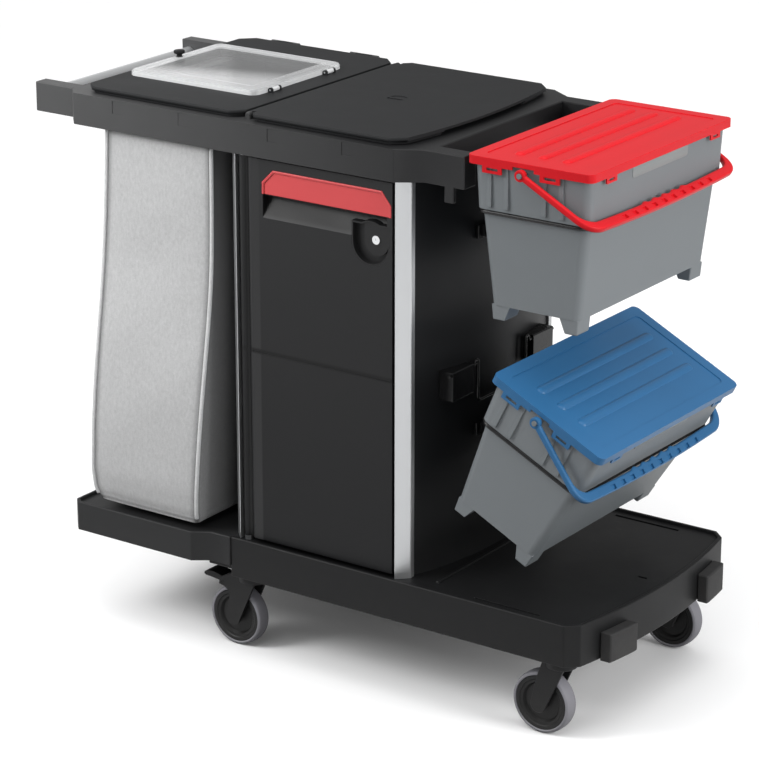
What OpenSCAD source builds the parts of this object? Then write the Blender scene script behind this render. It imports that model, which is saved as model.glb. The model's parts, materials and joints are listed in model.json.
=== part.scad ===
// Janitor cart: platform on four swivel casters, lockable cabinet, bag bay
// with lidded frame, and two lidded boxes hung in tilting wire rings.
// Millimetres. X runs to the box end, -Y is the door side, Z is up.

/* [Casters] */
// Wheel diameter
wheel_d = 125; // [110:1:125]
// Tyre width
tyre_w = 32; // [28:1:34]
// Swivel offset of the wheel behind its stem
trail = 36; // [32:1:38]

/* [Base] */
// Height of the caster seats above the floor
seat_h = 175; // [173:1:185]
// Width of the base platform
base_w = 578; // [574:2:590]
// Depth of the skirt
skirt_h = 84.5; // [80:0.5:90]
// Reach of the deck past the cabinet
deck_reach = 421.5; // [415:0.5:440]

/* [Cabinet] */
// Cabinet length between the outer post faces
cab_l = 416; // [400:1:430]
// Height from deck to frame
cab_h = 789; // [770:1:810]
// Outward bow of the end panel
end_bow = 39.5; // [34:0.5:40]
// Sheet thickness of the cabinet panels
sheet_t = 4; // [3:0.5:5]

/* [Bag bay] */
// Length of the bag tray
tray_l = 387; // [370:1:400]
// Side bulge of the bag below
bag_bulge = 36; // [20:1:38]

/* [Frame] */
// Height of the top frame
frame_h = 63; // [58:1:68]
// Push bar diameter
bar_d = 30; // [26:1:32]
// Lid plate thickness
lid_t = 7; // [6:0.5:8]

/* [Boxes] */
// Box lid length across the cart
box_l = 512; // [500:1:516]
// Box lid width
box_w = 266; // [260:1:268]
// Depth of the box below its ledge
box_d = 183; // [170:1:186]
// Rest tilt of the lower box
box_tilt = 26.6; // [20:0.1:27]
// Diameter of the ring wire
ring_d = 8; // [6:0.5:8]

/* [Hidden] */
$fn = 48;
gap = 0.3;
pin_gap = 0.05;
seam_x = -169.5;
cab_x0 = -181;
cab_x1 = cab_x0 + cab_l;
half = base_w / 2;
base_z0 = seat_h - 12.5;
rim_z = base_z0 + skirt_h;
deck_z = rim_z - 6;
frame_z0 = deck_z + cab_h;
frame_z1 = frame_z0 + frame_h;
lid_z1 = frame_z1 + 7 + lid_t;
lid_z0 = frame_z1 + 7;
door_y = half - 17;
post_y = half - 52;
frame_y = half - 8.5;
apex = cab_x1 + deck_reach;
bow_h = half - 22;
bow_s = 28.1;
bow_r = (bow_h * bow_h + bow_s * bow_s) / (2 * bow_s);
bow_x = apex - bow_r;
end_x = apex - 52.2;
pan_h = half - 55;
pan_r = (pan_h * pan_h + end_bow * end_bow) / (2 * end_bow);
pan_apex = cab_x1 - 3.5 + end_bow;
pan_x = pan_apex - pan_r;
tray_x0 = seam_x - gap - tray_l;
tray_y = half + 26;
frame_x0 = tray_x0 - 18.3;
stub_x0 = tray_x0 - 115.8;
bar_x = stub_x0 + 17.5;
stub_y = half - 39.6;
shelf_z = deck_z + 0.4918 * cab_h;
stem_y = half - 47.3;
stem_x = [apex - 83.5, -149];
hinge_x = -143.5;
hinge_y = -door_y + 10;
door_x0 = -133.6;
door_x1 = cab_x1 - 28.3;
door_z0 = deck_z + 9;
door_z1 = frame_z0 - 4;
lock_x = door_x1 - 36.7;
lock_z = frame_z0 - 119;
lock_r = 7;
hook_z = deck_z + 397;
up_px = cab_x1 + 122;
up_pz = frame_z0 - 34;
low_px = cab_x1 + 138;
low_pz = frame_z0 - 430;
arm_x1 = cab_x1 + 115;
bag_lid_x0 = tray_x0 + 19.8;
bag_lid_x1 = -152;
lid_y = frame_y - 15.5;
lid_axis_y = lid_y + 7;
lid_axis_z = frame_z1 + 8;
flap_x = -197;
flap_z = lid_z1 + 5;
flap_x0 = bag_lid_x0 + 18;
seam_axis_x = -141;
seam_r = (lid_z1 - frame_z1 - gap) / 2;
seam_axis_z = frame_z1 + gap + seam_r;
tlid_x1 = cab_x1 - 16;
tlid_s = 21;
tlid_h = lid_y - 27;
tlid_r = (tlid_h * tlid_h + tlid_s * tlid_s) / (2 * tlid_s);
tub_x0 = -123;
tub_x1 = cab_x1 - 33;
mouth_x0 = tray_x0 + 86.7;
mouth_x1 = -235;
mouth_y = half - 49;
ring_u = box_w / 2 - 13;
ring_v = box_l / 2 - 13;
piv_u = ring_u + 14;
piv_w = ring_d / 2 + gap;
lug_y = 60;
bail_arm = box_w / 2 + 36;
bail_drop = asin(79.34 / bail_arm);

// Points with Y above zero, then the same points mirrored
function sym(p) = concat(p, [for (i = [len(p) - 1 : -1 : 0]) [p[i][0], -p[i][1]]]);

module block(x0, x1, y0, y1, z0, z1) {
  translate([x0, y0, z0]) cube([x1 - x0, y1 - y0, z1 - z0]);
}
module rod_x(x0, x1, y, z, r) {
  translate([x0, y, z]) rotate([0, 90, 0]) cylinder(r = r, h = x1 - x0);
}
module rod_y(x, y0, y1, z, r) {
  translate([x, y0, z]) rotate([-90, 0, 0]) cylinder(r = r, h = y1 - y0);
}
module prism(p, z0, z1) {
  translate([0, 0, z0]) linear_extrude(z1 - z0) polygon(p);
}
// A profile in X and Z drawn out along Y
module side(p, y0, y1) {
  translate([0, y1, 0]) rotate([90, 0, 0]) linear_extrude(y1 - y0) polygon(p);
}
// A profile in Y and Z drawn out along X
module run_x(p, x0, x1) {
  translate([x0, 0, 0]) rotate([90, 0, 90]) linear_extrude(x1 - x0) polygon(p);
}
module both() {
  children();
  mirror([0, 1, 0]) children();
}
module drum(x, r, z0, z1) {
  translate([x, 0, z0]) cylinder(r = r, h = z1 - z0, $fn = 160);
}

// Platform
module base_outline(i, left, z0, z1) {
  intersection() {
    prism(sym([[left, half - i], [end_x - 0.4 * i, half - i],
      [end_x + 24.1 - 0.9 * i, bow_h - 0.6 * i], [apex + 5, bow_h - 67]]), z0, z1);
    drum(bow_x, bow_r - i, z0 - 1, z1 + 1);
  }
}
module base_platform() color("#1c1d1f") {
  difference() {
    base_outline(0, seam_x, base_z0, rim_z);
    base_outline(5, seam_x + 5, base_z0 - 1, deck_z - 5);
    base_outline(8, seam_x - 5, deck_z, rim_z + 1);
    both() block(cab_x1 + 153, end_x - 71, half - 33, half - 25, deck_z - 3, rim_z);
    block(end_x - 17, end_x + 3, 6, 12, deck_z - 3, rim_z);
    both() block(seam_x - 1, seam_x + 6, stem_y - 42, stem_y + 40, base_z0 - 1, seat_h);
  }
  block(cab_x1 + 51, cab_x1 + 59, -240, 240, deck_z - 1, deck_z + 4);
  both() {
    block(stem_x[0] - 38, stem_x[0] + 38, stem_y - 38, stem_y + 38, seat_h, deck_z - 4);
    block(seam_x + 1, stem_x[1] + 38, stem_y - 38, stem_y + 38, seat_h, deck_z - 4);
    block(seam_x + 2, end_x - 40, 96, 101, seat_h, deck_z - 4);
  }
  block(seam_x - 60, seam_x + 2, 5 - half, half - 5, seat_h, seat_h + 10.2);
}
module end_bumpers() color("#18191a") both() {
  difference() {
    intersection() {
      block(apex - 60, apex + 16, 133, 215, base_z0 - 2.5, base_z0 + 54.5);
      drum(bow_x, bow_r + 24, base_z0 - 3, base_z0 + 60);
    }
    drum(bow_x, bow_r + gap, base_z0 - 4, base_z0 + 61);
  }
}
module tray_outline(i, right, z0, z1) {
  prism(sym([[tray_x0 + i, tray_y - 14 - 0.4 * i], [tray_x0 + 14 + 0.4 * i, tray_y - i],
    [seam_x - 80.1 - 0.3 * i, tray_y - i], [seam_x - 47 - 0.3 * i, half + 3 - i],
    [right, half + 3 - i]]), z0, z1);
}
module bag_tray() color("#1c1d1f") {
  difference() {
    tray_outline(0, seam_x - gap, seat_h + 10.5, rim_z);
    tray_outline(4, seam_x - gap - 4, seat_h + 9, deck_z - 4);
    tray_outline(8, seam_x + 1, deck_z, rim_z + 1);
  }
  both() block(tray_x0 + 3, seam_x - 3, 118, 122, seat_h + 10.5, deck_z - 3);
}

// Posts: hollow five-sided sections with the wide face at 45 degrees
module post() {
  prism_h = frame_z0 - deck_z - 0.4;
  translate([0, 0, deck_z + 0.2]) linear_extrude(prism_h) difference() {
    polygon([[0, 0], [23, 23], [23, 35], [0, 35]]);
    polygon([[2.5, 6.04], [20.5, 24.04], [20.5, 32.5], [2.5, 32.5]]);
  }
}
module front_right_post() color("#c9cbcc") translate([cab_x1 - 23, -door_y, 0]) post();
module front_left_post() color("#c9cbcc") translate([cab_x0 + 23, -door_y, 0]) mirror([1, 0, 0]) post();
module back_right_post() color("#c9cbcc") mirror([0, 1, 0]) translate([cab_x1 - 23, -door_y, 0]) post();
module back_left_post() color("#c9cbcc") mirror([0, 1, 0]) translate([cab_x0 + 23, -door_y, 0])
  mirror([1, 0, 0]) post();

// Frame with the two openings, arms, handle stubs and hinge lugs
module top_frame() color("#1c1d1f") {
  difference() {
    union() {
      prism(sym([[frame_x0, frame_y - 28.5], [frame_x0 + 26, frame_y], [cab_x1 - 20, frame_y],
        [cab_x1 + 27, half - 39.5], [arm_x1, half - 39.5], [arm_x1, half - 78],
        [cab_x1 + 38, half - 78]]), frame_z0, frame_z1);
      both() {
        block(stub_x0, frame_x0 + 5, stub_y - 30, stub_y, frame_z0 + 3, frame_z1);
        block(arm_x1 - 44, arm_x1 - 24, half - 50, half - 39.5, frame_z0 - 30, frame_z0 + 1);
        translate([seam_axis_x, lid_y - 24.7, seam_axis_z]) rotate([-90, 0, 0])
          cylinder(r = 6.5, h = 11.7);
        block(seam_axis_x - 6.5, seam_axis_x + 6.5, lid_y - 24.7, lid_y - 13, frame_z1 - 1, seam_axis_z);
      }
      for (x = [tray_x0 + 116.7, -240], s = [-1, 1]) {
        rod_x(x + s * 27.2 - 6.8, x + s * 27.2 + 6.8, lid_axis_y, lid_axis_z, 6.5);
        block(x + s * 27.2 - 6.8, x + s * 27.2 + 6.8, lid_axis_y - 4, lid_axis_y + 6.5,
          frame_z1 - 1, lid_axis_z);
      }
    }
    block(mouth_x0, mouth_x1, -mouth_y, mouth_y, frame_z0 - 1, frame_z1 + 1);
    block(tub_x0 - 3, tub_x1 + 3, -mouth_y, mouth_y, frame_z0 - 1, frame_z1 + 1);
    block(frame_x0 + 9, mouth_x0 - 18, -mouth_y + 5, mouth_y - 5, frame_z0 - 1, frame_z1 - 5);
    both() {
      block(-120, cab_x1 - 45, mouth_y + 6, frame_y - 5, frame_z0 - 1, frame_z1 - 5);
      for (m = [[tray_x0 + 106.7, 24], [tray_x0 + 269.7, 31], [-74, 25], [98, 21]])
        block(m[0], m[0] + m[1], frame_y - 1, frame_y + 1, frame_z1 - 28, frame_z1 - 3);
      rod_y(seam_axis_x, lid_y - 40, lid_y - 14, seam_axis_z, 2.5 + pin_gap);
    }
    block(mouth_x1 + 19, -190, -190, 190, frame_z0 - 1, frame_z1 - 5);
    rod_y(bar_x, 20 - stub_y, stub_y - 20, frame_z0 + 33, bar_d / 2 + pin_gap);
    for (x = [tray_x0 + 116.7, -240])
      rod_x(x - 40, x + 40, lid_axis_y, lid_axis_z, 2.5 + pin_gap);
  }
}
module push_bar() color("#c9cbcc") difference() {
  rod_y(bar_x, 20.2 - stub_y, stub_y - 20.2, frame_z0 + 33, bar_d / 2);
  rod_y(bar_x, 19 - stub_y, stub_y - 19, frame_z0 + 33, bar_d / 2 - 2);
}

// Cabinet panels
module back_panel() color("#202123") {
  block(cab_x0 + 23 + gap, cab_x1 - 23 - gap, door_y - 10, door_y - 10 + sheet_t, deck_z + 0.2, frame_z0 - 0.2);
  block(cab_x0 + 60, cab_x1 - 60, door_y - 22, door_y - 9, shelf_z - 12, shelf_z - gap);
}
module end_panel() color("#202123") {
  difference() {
    intersection() {
      drum(pan_x, pan_r, deck_z + 0.2, frame_z0 - 0.2);
      block(cab_x1 - 60, cab_x1 + 60, gap - post_y, post_y - gap, deck_z, frame_z0);
    }
    drum(pan_x, pan_r - sheet_t, deck_z - 1, frame_z0 + 1);
  }
  intersection() {
    block(cab_x1 - 30, cab_x1 + 60, 84 - pan_h, pan_h - 84, shelf_z - 12, shelf_z - gap);
    drum(pan_x, pan_r - sheet_t / 2, shelf_z - 20, shelf_z + 10);
  }
}
module bag_side_panel() color("#202123") {
  block(cab_x0 + 15, cab_x0 + 15 + sheet_t, gap - post_y, post_y - gap, deck_z + 0.2, frame_z0 - 0.2);
  block(cab_x0 + 16, cab_x0 + 31 + sheet_t, 37 - post_y, post_y - 37, shelf_z - 12, shelf_z - gap);
}
module shelf() color("#27282a") intersection() {
  union() {
    block(cab_x0 + 15 + sheet_t + gap, cab_x1 + 60, 1 - post_y, door_y - 10 - gap, shelf_z, shelf_z + 5);
    block(cab_x0 + 35, cab_x1 - 12, 1 - post_y, 5 - post_y, shelf_z, shelf_z + 20);
  }
  union() {
    drum(pan_x, pan_r - sheet_t - gap, shelf_z - 1, shelf_z + 30);
    block(cab_x0, cab_x1 - 24, -half, half, shelf_z - 1, shelf_z + 30);
  }
  union() {
    block(cab_x0, cab_x1 + 60, -half, post_y - gap, shelf_z - 1, shelf_z + 30);
    block(cab_x0 + 24, cab_x1 - 24, -half, half, shelf_z - 1, shelf_z + 30);
  }
}
module top_tray() color("#2b2c2e") difference() {
  union() {
    block(tub_x0, tub_x1, 3 - mouth_y, mouth_y - 3, frame_z0 - 55, frame_z1 + 2);
    prism(sym([[tub_x0 - 8, mouth_y + 7], [tub_x1 - 14, mouth_y + 7], [tub_x1 + 8, mouth_y - 15]]),
      frame_z1 + 0.2, frame_z1 + 3);
  }
  block(tub_x0 + 3, tub_x1 - 3, 6 - mouth_y, mouth_y - 6, frame_z0 - 52, frame_z1 + 5);
  both() block(tub_x0 - 9, tub_x0 + 6.5, mouth_y - 11.5, mouth_y + 8, frame_z1 + 0.1, frame_z1 + 4);
}
module door_hinge_pins() color("#8b8d90") {
  translate([hinge_x, hinge_y, deck_z + 0.2]) {
    cylinder(r = 8.5, h = 8.5);
    cylinder(r = 4, h = 60);
  }
  translate([hinge_x, hinge_y, frame_z0 - 50]) {
    cylinder(r = 4, h = 49.8);
    translate([0, 0, 46.5]) cylinder(r = 8.5, h = 3.3);
  }
}
module lid_hinge_pins() color("#8b8d90") {
  for (x = [tray_x0 + 116.7, -240]) rod_x(x - 35, x + 35, lid_axis_y, lid_axis_z, 2.5);
  both() rod_y(seam_axis_x, lid_y - 46, lid_y - 14, seam_axis_z, 2.5);
}

// Fittings on the bowed panel
module hook_blocks() color("#161718") both() difference() {
  block(pan_apex - 50, pan_apex + 11, 106, 178, hook_z - 51, hook_z + 7);
  drum(pan_x, pan_r + gap, hook_z - 60, hook_z + 20);
  rod_y(pan_apex + 6, 90, 190, hook_z, 3.1);
}
// Bend of the round wire in the plane of the panel, from angle a over turn d
module bend(y, z, r, a, d) {
  translate([0, y, z]) rotate([90, 0, 90]) rotate([0, 0, a]) rotate_extrude(angle = d) translate([r, 0]) circle(r = 3);
}
module hook_wire() color("#101112") translate([pan_apex + 6, 0, hook_z]) {
  both() {
    rod_y(0, 100, 184, 0, 3);
    bend(100, 5, 5, 180, 90);
    bend(90, 5, 5, 0, 180);
    translate([0, 85, -64]) cylinder(r = 3, h = 69);
    bend(75, -64, 10, 270, 90);
  }
  rod_y(0, -75, 75, -74, 3);
}
module bracket(px, pz, foot) {
  difference() {
    union() {
      intersection() {
        drum(pan_x, pan_r + 8, foot - 13, foot + 13);
        block(pan_apex - 40, pan_apex + 20, -82, 82, foot - 13, foot + 13);
      }
      both() {
        side([[pan_apex - 12, foot - 9], [pan_apex + 18, foot - 9], [px + 6, pz - 6], [px - 6, pz + 6],
          [pan_apex + 4, foot + 11], [pan_apex - 12, foot + 11]], lug_y + 5 + gap, lug_y + 13);
        rod_y(px, lug_y + 5 + gap, lug_y + 13, pz, 9);
        rod_y(px, lug_y - 7, lug_y + 8, pz, 4);
      }
    }
    drum(pan_x, pan_r + gap, foot - 30, foot + 30);
  }
}
module upper_box_bracket() color("#141516") bracket(up_px, up_pz, up_pz - 98);
module lower_box_bracket() color("#141516") bracket(low_px, low_pz, low_pz - 97);

// Rounded plate corners for a tapered shell
module corners(x0, x1, y, r, z) {
  for (x = [x0 + r, x1 - r], s = [-1, 1])
    translate([x, s * (y - r), z]) cylinder(r = r, h = 0.1, $fn = 32);
}
module loft(a, b) {
  hull() {
    corners(a[0], a[1], a[2], a[3], a[4]);
    corners(b[0], b[1], b[2], b[3], b[4] - 0.1);
  }
}
// Bag sections from the floor up: left, right, half width, corner radius, height
bag_top_y = half - 27;
bag_s = [[tray_x0 + 78, -266, bag_top_y + bag_bulge - 36, 26, deck_z + 5],
  [tray_x0 + 47, -245, bag_top_y + bag_bulge, 26, deck_z + 44],
  [tray_x0 + 63, -220, bag_top_y + 4, 24, deck_z + 517],
  [tray_x0 + 75, -221, bag_top_y, 24, frame_z0 - 0.3]];
function inset(s, i, up) = [s[0] + i, s[1] - i, s[2] - i, s[3] - i, s[4] + up];
module bag() color("#b9bbbd") difference() {
  union() {
    loft(bag_s[0], bag_s[1]);
    loft(bag_s[1], bag_s[2]);
    loft(bag_s[2], bag_s[3]);
  }
  loft(inset(bag_s[0], 3, 3), inset(bag_s[1], 3, 0));
  loft(inset(bag_s[1], 3, -0.1), inset(bag_s[2], 3, 0));
  loft(inset(bag_s[2], 3, -0.1), inset(bag_s[3], 3, 2));
}

// Door in its frame: skin, returns, hinge barrel, insert seat and lock seat
insert_p = [[door_x1 - 275, frame_z0 - 22], [door_x1 - 23, frame_z0 - 22], [door_x1 - 1.5, frame_z0 - 49],
  [door_x1 - 1.5, frame_z0 - 72], [door_x1 - 301, frame_z0 - 72], [door_x1 - 301, frame_z0 - 48]];
module lock_shape(i, y0, y1) {
  cx = door_x1 - 49.2;
  block(cx - 43.5 + i, cx + 43.5 - i, y0, y1, lock_z - 9, lock_z + 30 - i);
  rod_y(cx, y0, y1, lock_z - 8.5, 43.5 - i);
}
module door_panel() color("#1e1f21") difference() {
  union() {
    difference() {
      block(door_x0, door_x1, -door_y, 22 - door_y, door_z0, door_z1);
      block(door_x0 + 15, door_x1 - 4, 4 - door_y, 30 - door_y, door_z0 + 4, door_z1 - 4);
      prism([[door_x0 - 1, -door_y - 1], [door_x0 + 14, -door_y - 1], [door_x0 + 13, -door_y],
        [door_x0 + 5, 3.5 - door_y], [door_x0, 9 - door_y], [door_x0 - 1, 9 - door_y]], door_z0 - 1, door_z1 + 1);
      block(door_x0 + 13, door_x1 + 1, -door_y - 1, 0.7 - door_y, shelf_z + 9.5, shelf_z + 12);
    }
    translate([hinge_x, hinge_y, door_z0]) cylinder(r = 9, h = door_z1 - door_z0);
    block(hinge_x, door_x0 + 3, hinge_y - 5, hinge_y + 5, door_z0, door_z1);
    block(door_x1 - 304, door_x1 - 1, 1 - door_y, 12 - door_y, frame_z0 - 76, frame_z0 - 18);
    block(door_x1 - 303, door_x1 - 1, 1 - door_y, 22 - door_y, frame_z0 - 119, frame_z0 - 68);
    block(door_x1 - 97, door_x1 - 1, 1 - door_y, 20 - door_y, lock_z - 56, lock_z + 46);
  }
  translate([0, -door_y, 0]) side([for (p = insert_p) p], -1, 6);
  run_x([[-door_y - 1, frame_z0 - 72.3], [18 - door_y, frame_z0 - 72.3], [18 - door_y, frame_z0 - 82],
    [0.1 - door_y, frame_z0 - 118], [-door_y - 1, frame_z0 - 118]], door_x1 - 299, door_x1 - 12);
  lock_shape(0, -door_y - 1, 30 - door_y);
  translate([hinge_x, hinge_y, door_z0 - 1]) cylinder(r = 4 + pin_gap, h = 62);
  translate([hinge_x, hinge_y, door_z1 - 50]) cylinder(r = 4 + pin_gap, h = 60);
}
module door_insert() color("#b8333a") difference() {
  k = 0.994;
  cx = door_x1 - 151;
  cz = frame_z0 - 47;
  side([for (p = insert_p) [cx + (p[0] - cx) * k, cz + (p[1] - cz) * (k - 0.008)]], -door_y - 1.5, 5.9 - door_y);
  side([[door_x1 - 272, frame_z0 - 27], [door_x1 - 25.5, frame_z0 - 27], [door_x1 - 7, frame_z0 - 51],
    [door_x1 - 7, frame_z0 - 74], [door_x1 - 295.5, frame_z0 - 74], [door_x1 - 295.5, frame_z0 - 50.5]],
    -door_y - 3, 1 - door_y);
}
module lock_housing() color("#242527") difference() {
  lock_shape(0.3, 0.3 - door_y, 20 - door_y);
  lock_shape(3.5, -1 - door_y, 2.5 - door_y);
  difference() {
    lock_shape(3.5, 1 - door_y, 13 - door_y);
    rod_y(lock_x, -door_y, 14 - door_y, lock_z - 4, 27);
    block(lock_x - 27, lock_x + 40, -door_y, 14 - door_y, lock_z - 4, lock_z + 40);
  }
  rod_y(lock_x, -2 - door_y, 21 - door_y, lock_z, lock_r + pin_gap);
}
module lock_cylinder() color("#c4c6c8") difference() {
  union() {
    rod_y(lock_x, -door_y - 0.2, 40 - door_y, lock_z, lock_r);
    rod_y(lock_x, -door_y - 0.2, 2.2 - door_y, lock_z, lock_r + 1.5);
  }
  block(lock_x - 1, lock_x + 1, -door_y - 1, 1.8 - door_y, lock_z - 3.5, lock_z + 3.5);
}
module lock_cam() color("#9a9c9f") difference() {
  union() {
    rod_y(lock_x, 35.6 - door_y, 39.6 - door_y, lock_z, 14);
    block(lock_x - 9, lock_x + 9, 35.6 - door_y, 39.6 - door_y, lock_z - 50, lock_z);
  }
  rod_y(lock_x, 30 - door_y, 50 - door_y, lock_z, lock_r + pin_gap);
}

// Lids on the frame
module bag_lid_outline(i, z0, z1) {
  prism(sym([[bag_lid_x0 + i, lid_y - 24 - 0.4 * i], [bag_lid_x0 + 24 + 0.4 * i, lid_y - i],
    [bag_lid_x1 - 24 - 0.4 * i, lid_y - i], [bag_lid_x1 - i, lid_y - 24 - 0.4 * i]]), z0, z1);
}
module bag_lid() color("#1b1c1e") difference() {
  union() {
    difference() {
      union() {
        bag_lid_outline(0, lid_z0, lid_z1);
        bag_lid_outline(6, frame_z1 + gap, lid_z0 + 1);
      }
      bag_lid_outline(9, frame_z1 - 1, lid_z1 - 3);
      block(flap_x0 + 14, flap_x - 18, -135, 135, frame_z1 - 1, lid_z1 + 1);
    }
    difference() {
      block(flap_x0 + 11, flap_x - 15, -138, 138, frame_z1 + 1, lid_z1 - 2);
      block(flap_x0 + 14, flap_x - 18, -135, 135, frame_z1 - 1, lid_z1 + 1);
    }
    for (x = [tray_x0 + 116.7, -240]) {
      rod_x(x - 20, x + 20, lid_axis_y, lid_axis_z, 6.5);
      block(x - 20, x + 20, lid_y - 8, lid_axis_y, lid_axis_z - 5, lid_axis_z + 5);
    }
    both() for (y = [76.7, 103.3]) {
      rod_y(flap_x, y - 3, y + 3, flap_z, 4.5);
      block(flap_x - 4.5, flap_x + 4.5, y - 3, y + 3, lid_z1 - 1, flap_z);
    }
  }
  for (x = [tray_x0 + 116.7, -240]) rod_x(x - 21, x + 21, lid_axis_y, lid_axis_z, 2.5 + pin_gap);
  both() rod_y(flap_x, 70, 110, flap_z, 2 + pin_gap);
}
module flap_hinge_pins() color("#8b8d90") both() rod_y(flap_x, 74, 106, flap_z, 2);
module clear_flap() color("#d5dadc", 0.5) {
  u = (flap_x - 5.5 - flap_x0) / 2;
  difference() {
    union() {
      translate([flap_x0 + u, 0, lid_z1]) {
        difference() {
          union() {
            plate(u, 148, 20, gap, 7);
            plate(u - 2, 146, 18, 6, 10);
            plate(u - 6, 142, 14, 9, 11.5);
          }
          plate(u - 3, 145, 17, -1, 6.5);
          plate(u - 6, 142, 14, 6, 9.3);
        }
        plate(u - 26, 120, 8, 9.5, 12.5);
      }
      both() {
        rod_y(flap_x, 80, 100, flap_z, 4.5);
        block(flap_x - 7, flap_x, 80, 100, lid_z1 + 2.5, lid_z1 + 5.5);
      }
    }
    both() rod_y(flap_x, 70, 110, flap_z, 2 + pin_gap);
  }
}
module flap_knob() color("#121314") translate([flap_x0 + 14, 0, lid_z1]) {
  translate([0, 0, 11.6]) cylinder(r = 6.5, h = 4.5);
  translate([0, 0, 15.5]) cylinder(r1 = 9, r2 = 11.5, h = 2.5);
  translate([0, 0, 18]) cylinder(r = 11.5, h = 2);
}
module tray_lid_outline(i, left, z0, z1) {
  intersection() {
    prism(sym([[left, lid_y - 25 - i], [seam_axis_x + 13 + i, lid_y - 25 - i],
      [seam_axis_x + 13 + i, lid_y - 12 - 0.4 * i], [seam_axis_x + 25 + 0.4 * i, lid_y - i],
      [tlid_x1 - 27 - 0.4 * i, lid_y - i], [tlid_x1 - i, tlid_h - 0.4 * i],
      [tlid_x1 + tlid_s + 5, tlid_h - 60]]), z0, z1);
    drum(tlid_x1 + tlid_s - tlid_r, tlid_r - i, z0 - 1, z1 + 1);
  }
}
module tray_lid() color("#1b1c1e") difference() {
  union() {
    difference() {
      union() {
        tray_lid_outline(0, seam_axis_x, lid_z0, lid_z1);
        tray_lid_outline(6, seam_axis_x + 9, frame_z1 + gap, lid_z0 + 1);
      }
      tray_lid_outline(9, seam_axis_x + 9, frame_z1 - 1, lid_z1 - 3);
    }
    rod_y(seam_axis_x, 25 - lid_y, lid_y - 25, seam_axis_z, seam_r);
  }
  both() rod_y(seam_axis_x, lid_y - 47, lid_y, seam_axis_z, 2.5 + pin_gap);
  block(tlid_x1 + 5, tlid_x1 + 40, -140, 140, frame_z1 - 1, lid_z0 + 2);
  for (s = [-1, 1]) intersection() {
    translate([30, 0, lid_z1 - 1.5]) cylinder(r = 20, h = 5);
    block(0, 60, s * 12 - 8, s * 12 + 8, lid_z1 - 5, lid_z1 + 5);
  }
}

// Boxes in local axes: ledge plane at zero, length along Y
module box_shell() {
  bu = box_w / 2;
  bv = box_l / 2;
  difference() {
    union() {
      loft([39 - bu, bu - 39, bv - 26.5, 16, -box_d], [19 - bu, bu - 19, bv - 19, 16, 0.6]);
      loft([13 - bu, bu - 13, bv - 12, 18, 0], [8.5 - bu, bu - 8.5, bv - 8.5, 18, 97.2]);
      both() for (s = [0, 1]) mirror([s, 0, 0])
        side([[bu - 80, 0.1 - box_d], [bu - 40, 0.1 - box_d], [bu - 43, -box_d - 29], [bu - 68, -box_d - 29]],
          bv - 72, bv - 28);
      both() for (x = [-88, -52, 28, 64])
        block(x - 5, x + 5, bv - 18, bv - 6.5, 6, 84);
      both() rod_y(-12, bv - 14, bv + 14.5, 80, 5);
    }
    loft([42 - bu, bu - 42, bv - 29.5, 13, 3 - box_d], [22 - bu, bu - 22, bv - 22, 13, 3.5]);
    loft([16 - bu, bu - 16, bv - 15, 15, 3], [11.5 - bu, bu - 11.5, bv - 11.5, 15, 98]);
  }
}
module plate(u, v, r, z0, z1) {
  block(-u, u, r - v, v - r, z0, z1);
  block(r - u, u - r, -v, v, z0, z1);
  for (s = [-1, 1], t = [-1, 1]) translate([s * (u - r), t * (v - r), z0]) cylinder(r = r, h = z1 - z0);
}
// Bar with round ends along Y
module pill(x, y, r, z0, z1) {
  block(x - r, x + r, -y, y, z0, z1);
  both() translate([x, y, z0]) cylinder(r = r, h = z1 - z0);
}
module box_cover() {
  bu = box_w / 2;
  bv = box_l / 2;
  difference() {
    union() {
      plate(bu, bv, 14, 85, 101);
      both() for (x = [-78, 44]) block(x - 21, x + 21, bv - 3, bv, 72, 86);
      both() for (s = [-1, 1]) block(s * (bu - 1.5) - 1.5, s * (bu - 1.5) + 1.5, bv - 86, bv - 50, 74, 86);
    }
    plate(bu - 3, bv - 3, 11, 84, 97.5);
    plate(bu - 24, bv - 26, 10, 99.5, 103);
    both() block(-34, 10, bv - 4, bv + 1, 84, 91);
    both() for (x = [-78, 44]) block(x - 12, x + 12, bv - 4, bv + 1, 77, 82);
    both() for (s = [-1, 1]) block(s * bu - 5, s * bu + 5, bv - 77, bv - 59, 78, 82);
  }
  for (x = [-56, -6, 44]) pill(x, bv - 62, 7, 99, 102);
}
module box_ring() {
  r = ring_d / 2;
  translate([0, 0, -piv_w]) {
    for (s = [-1, 1]) {
      rod_x(25 - ring_u, ring_u - 25, s * ring_v, 0, r);
      rod_y(s * ring_u, 25 - ring_v, ring_v - 25, 0, r);
      for (t = [-1, 1]) translate([s * (ring_u - 25), t * (ring_v - 25), 0])
        rotate([0, 0, t > 0 ? (s > 0 ? 0 : 90) : (s > 0 ? 270 : 180)])
          rotate_extrude(angle = 90) translate([25, 0]) circle(r = r);
    }
    both() difference() {
      union() {
        rod_y(-piv_u, lug_y - 5, lug_y + 5, 0, 8);
        block(-piv_u, -ring_u - 1, lug_y - 5, lug_y + 5, -r, r);
      }
      rod_y(-piv_u, lug_y - 6, lug_y + 6, 0, 4 + pin_gap);
    }
  }
}
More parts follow.
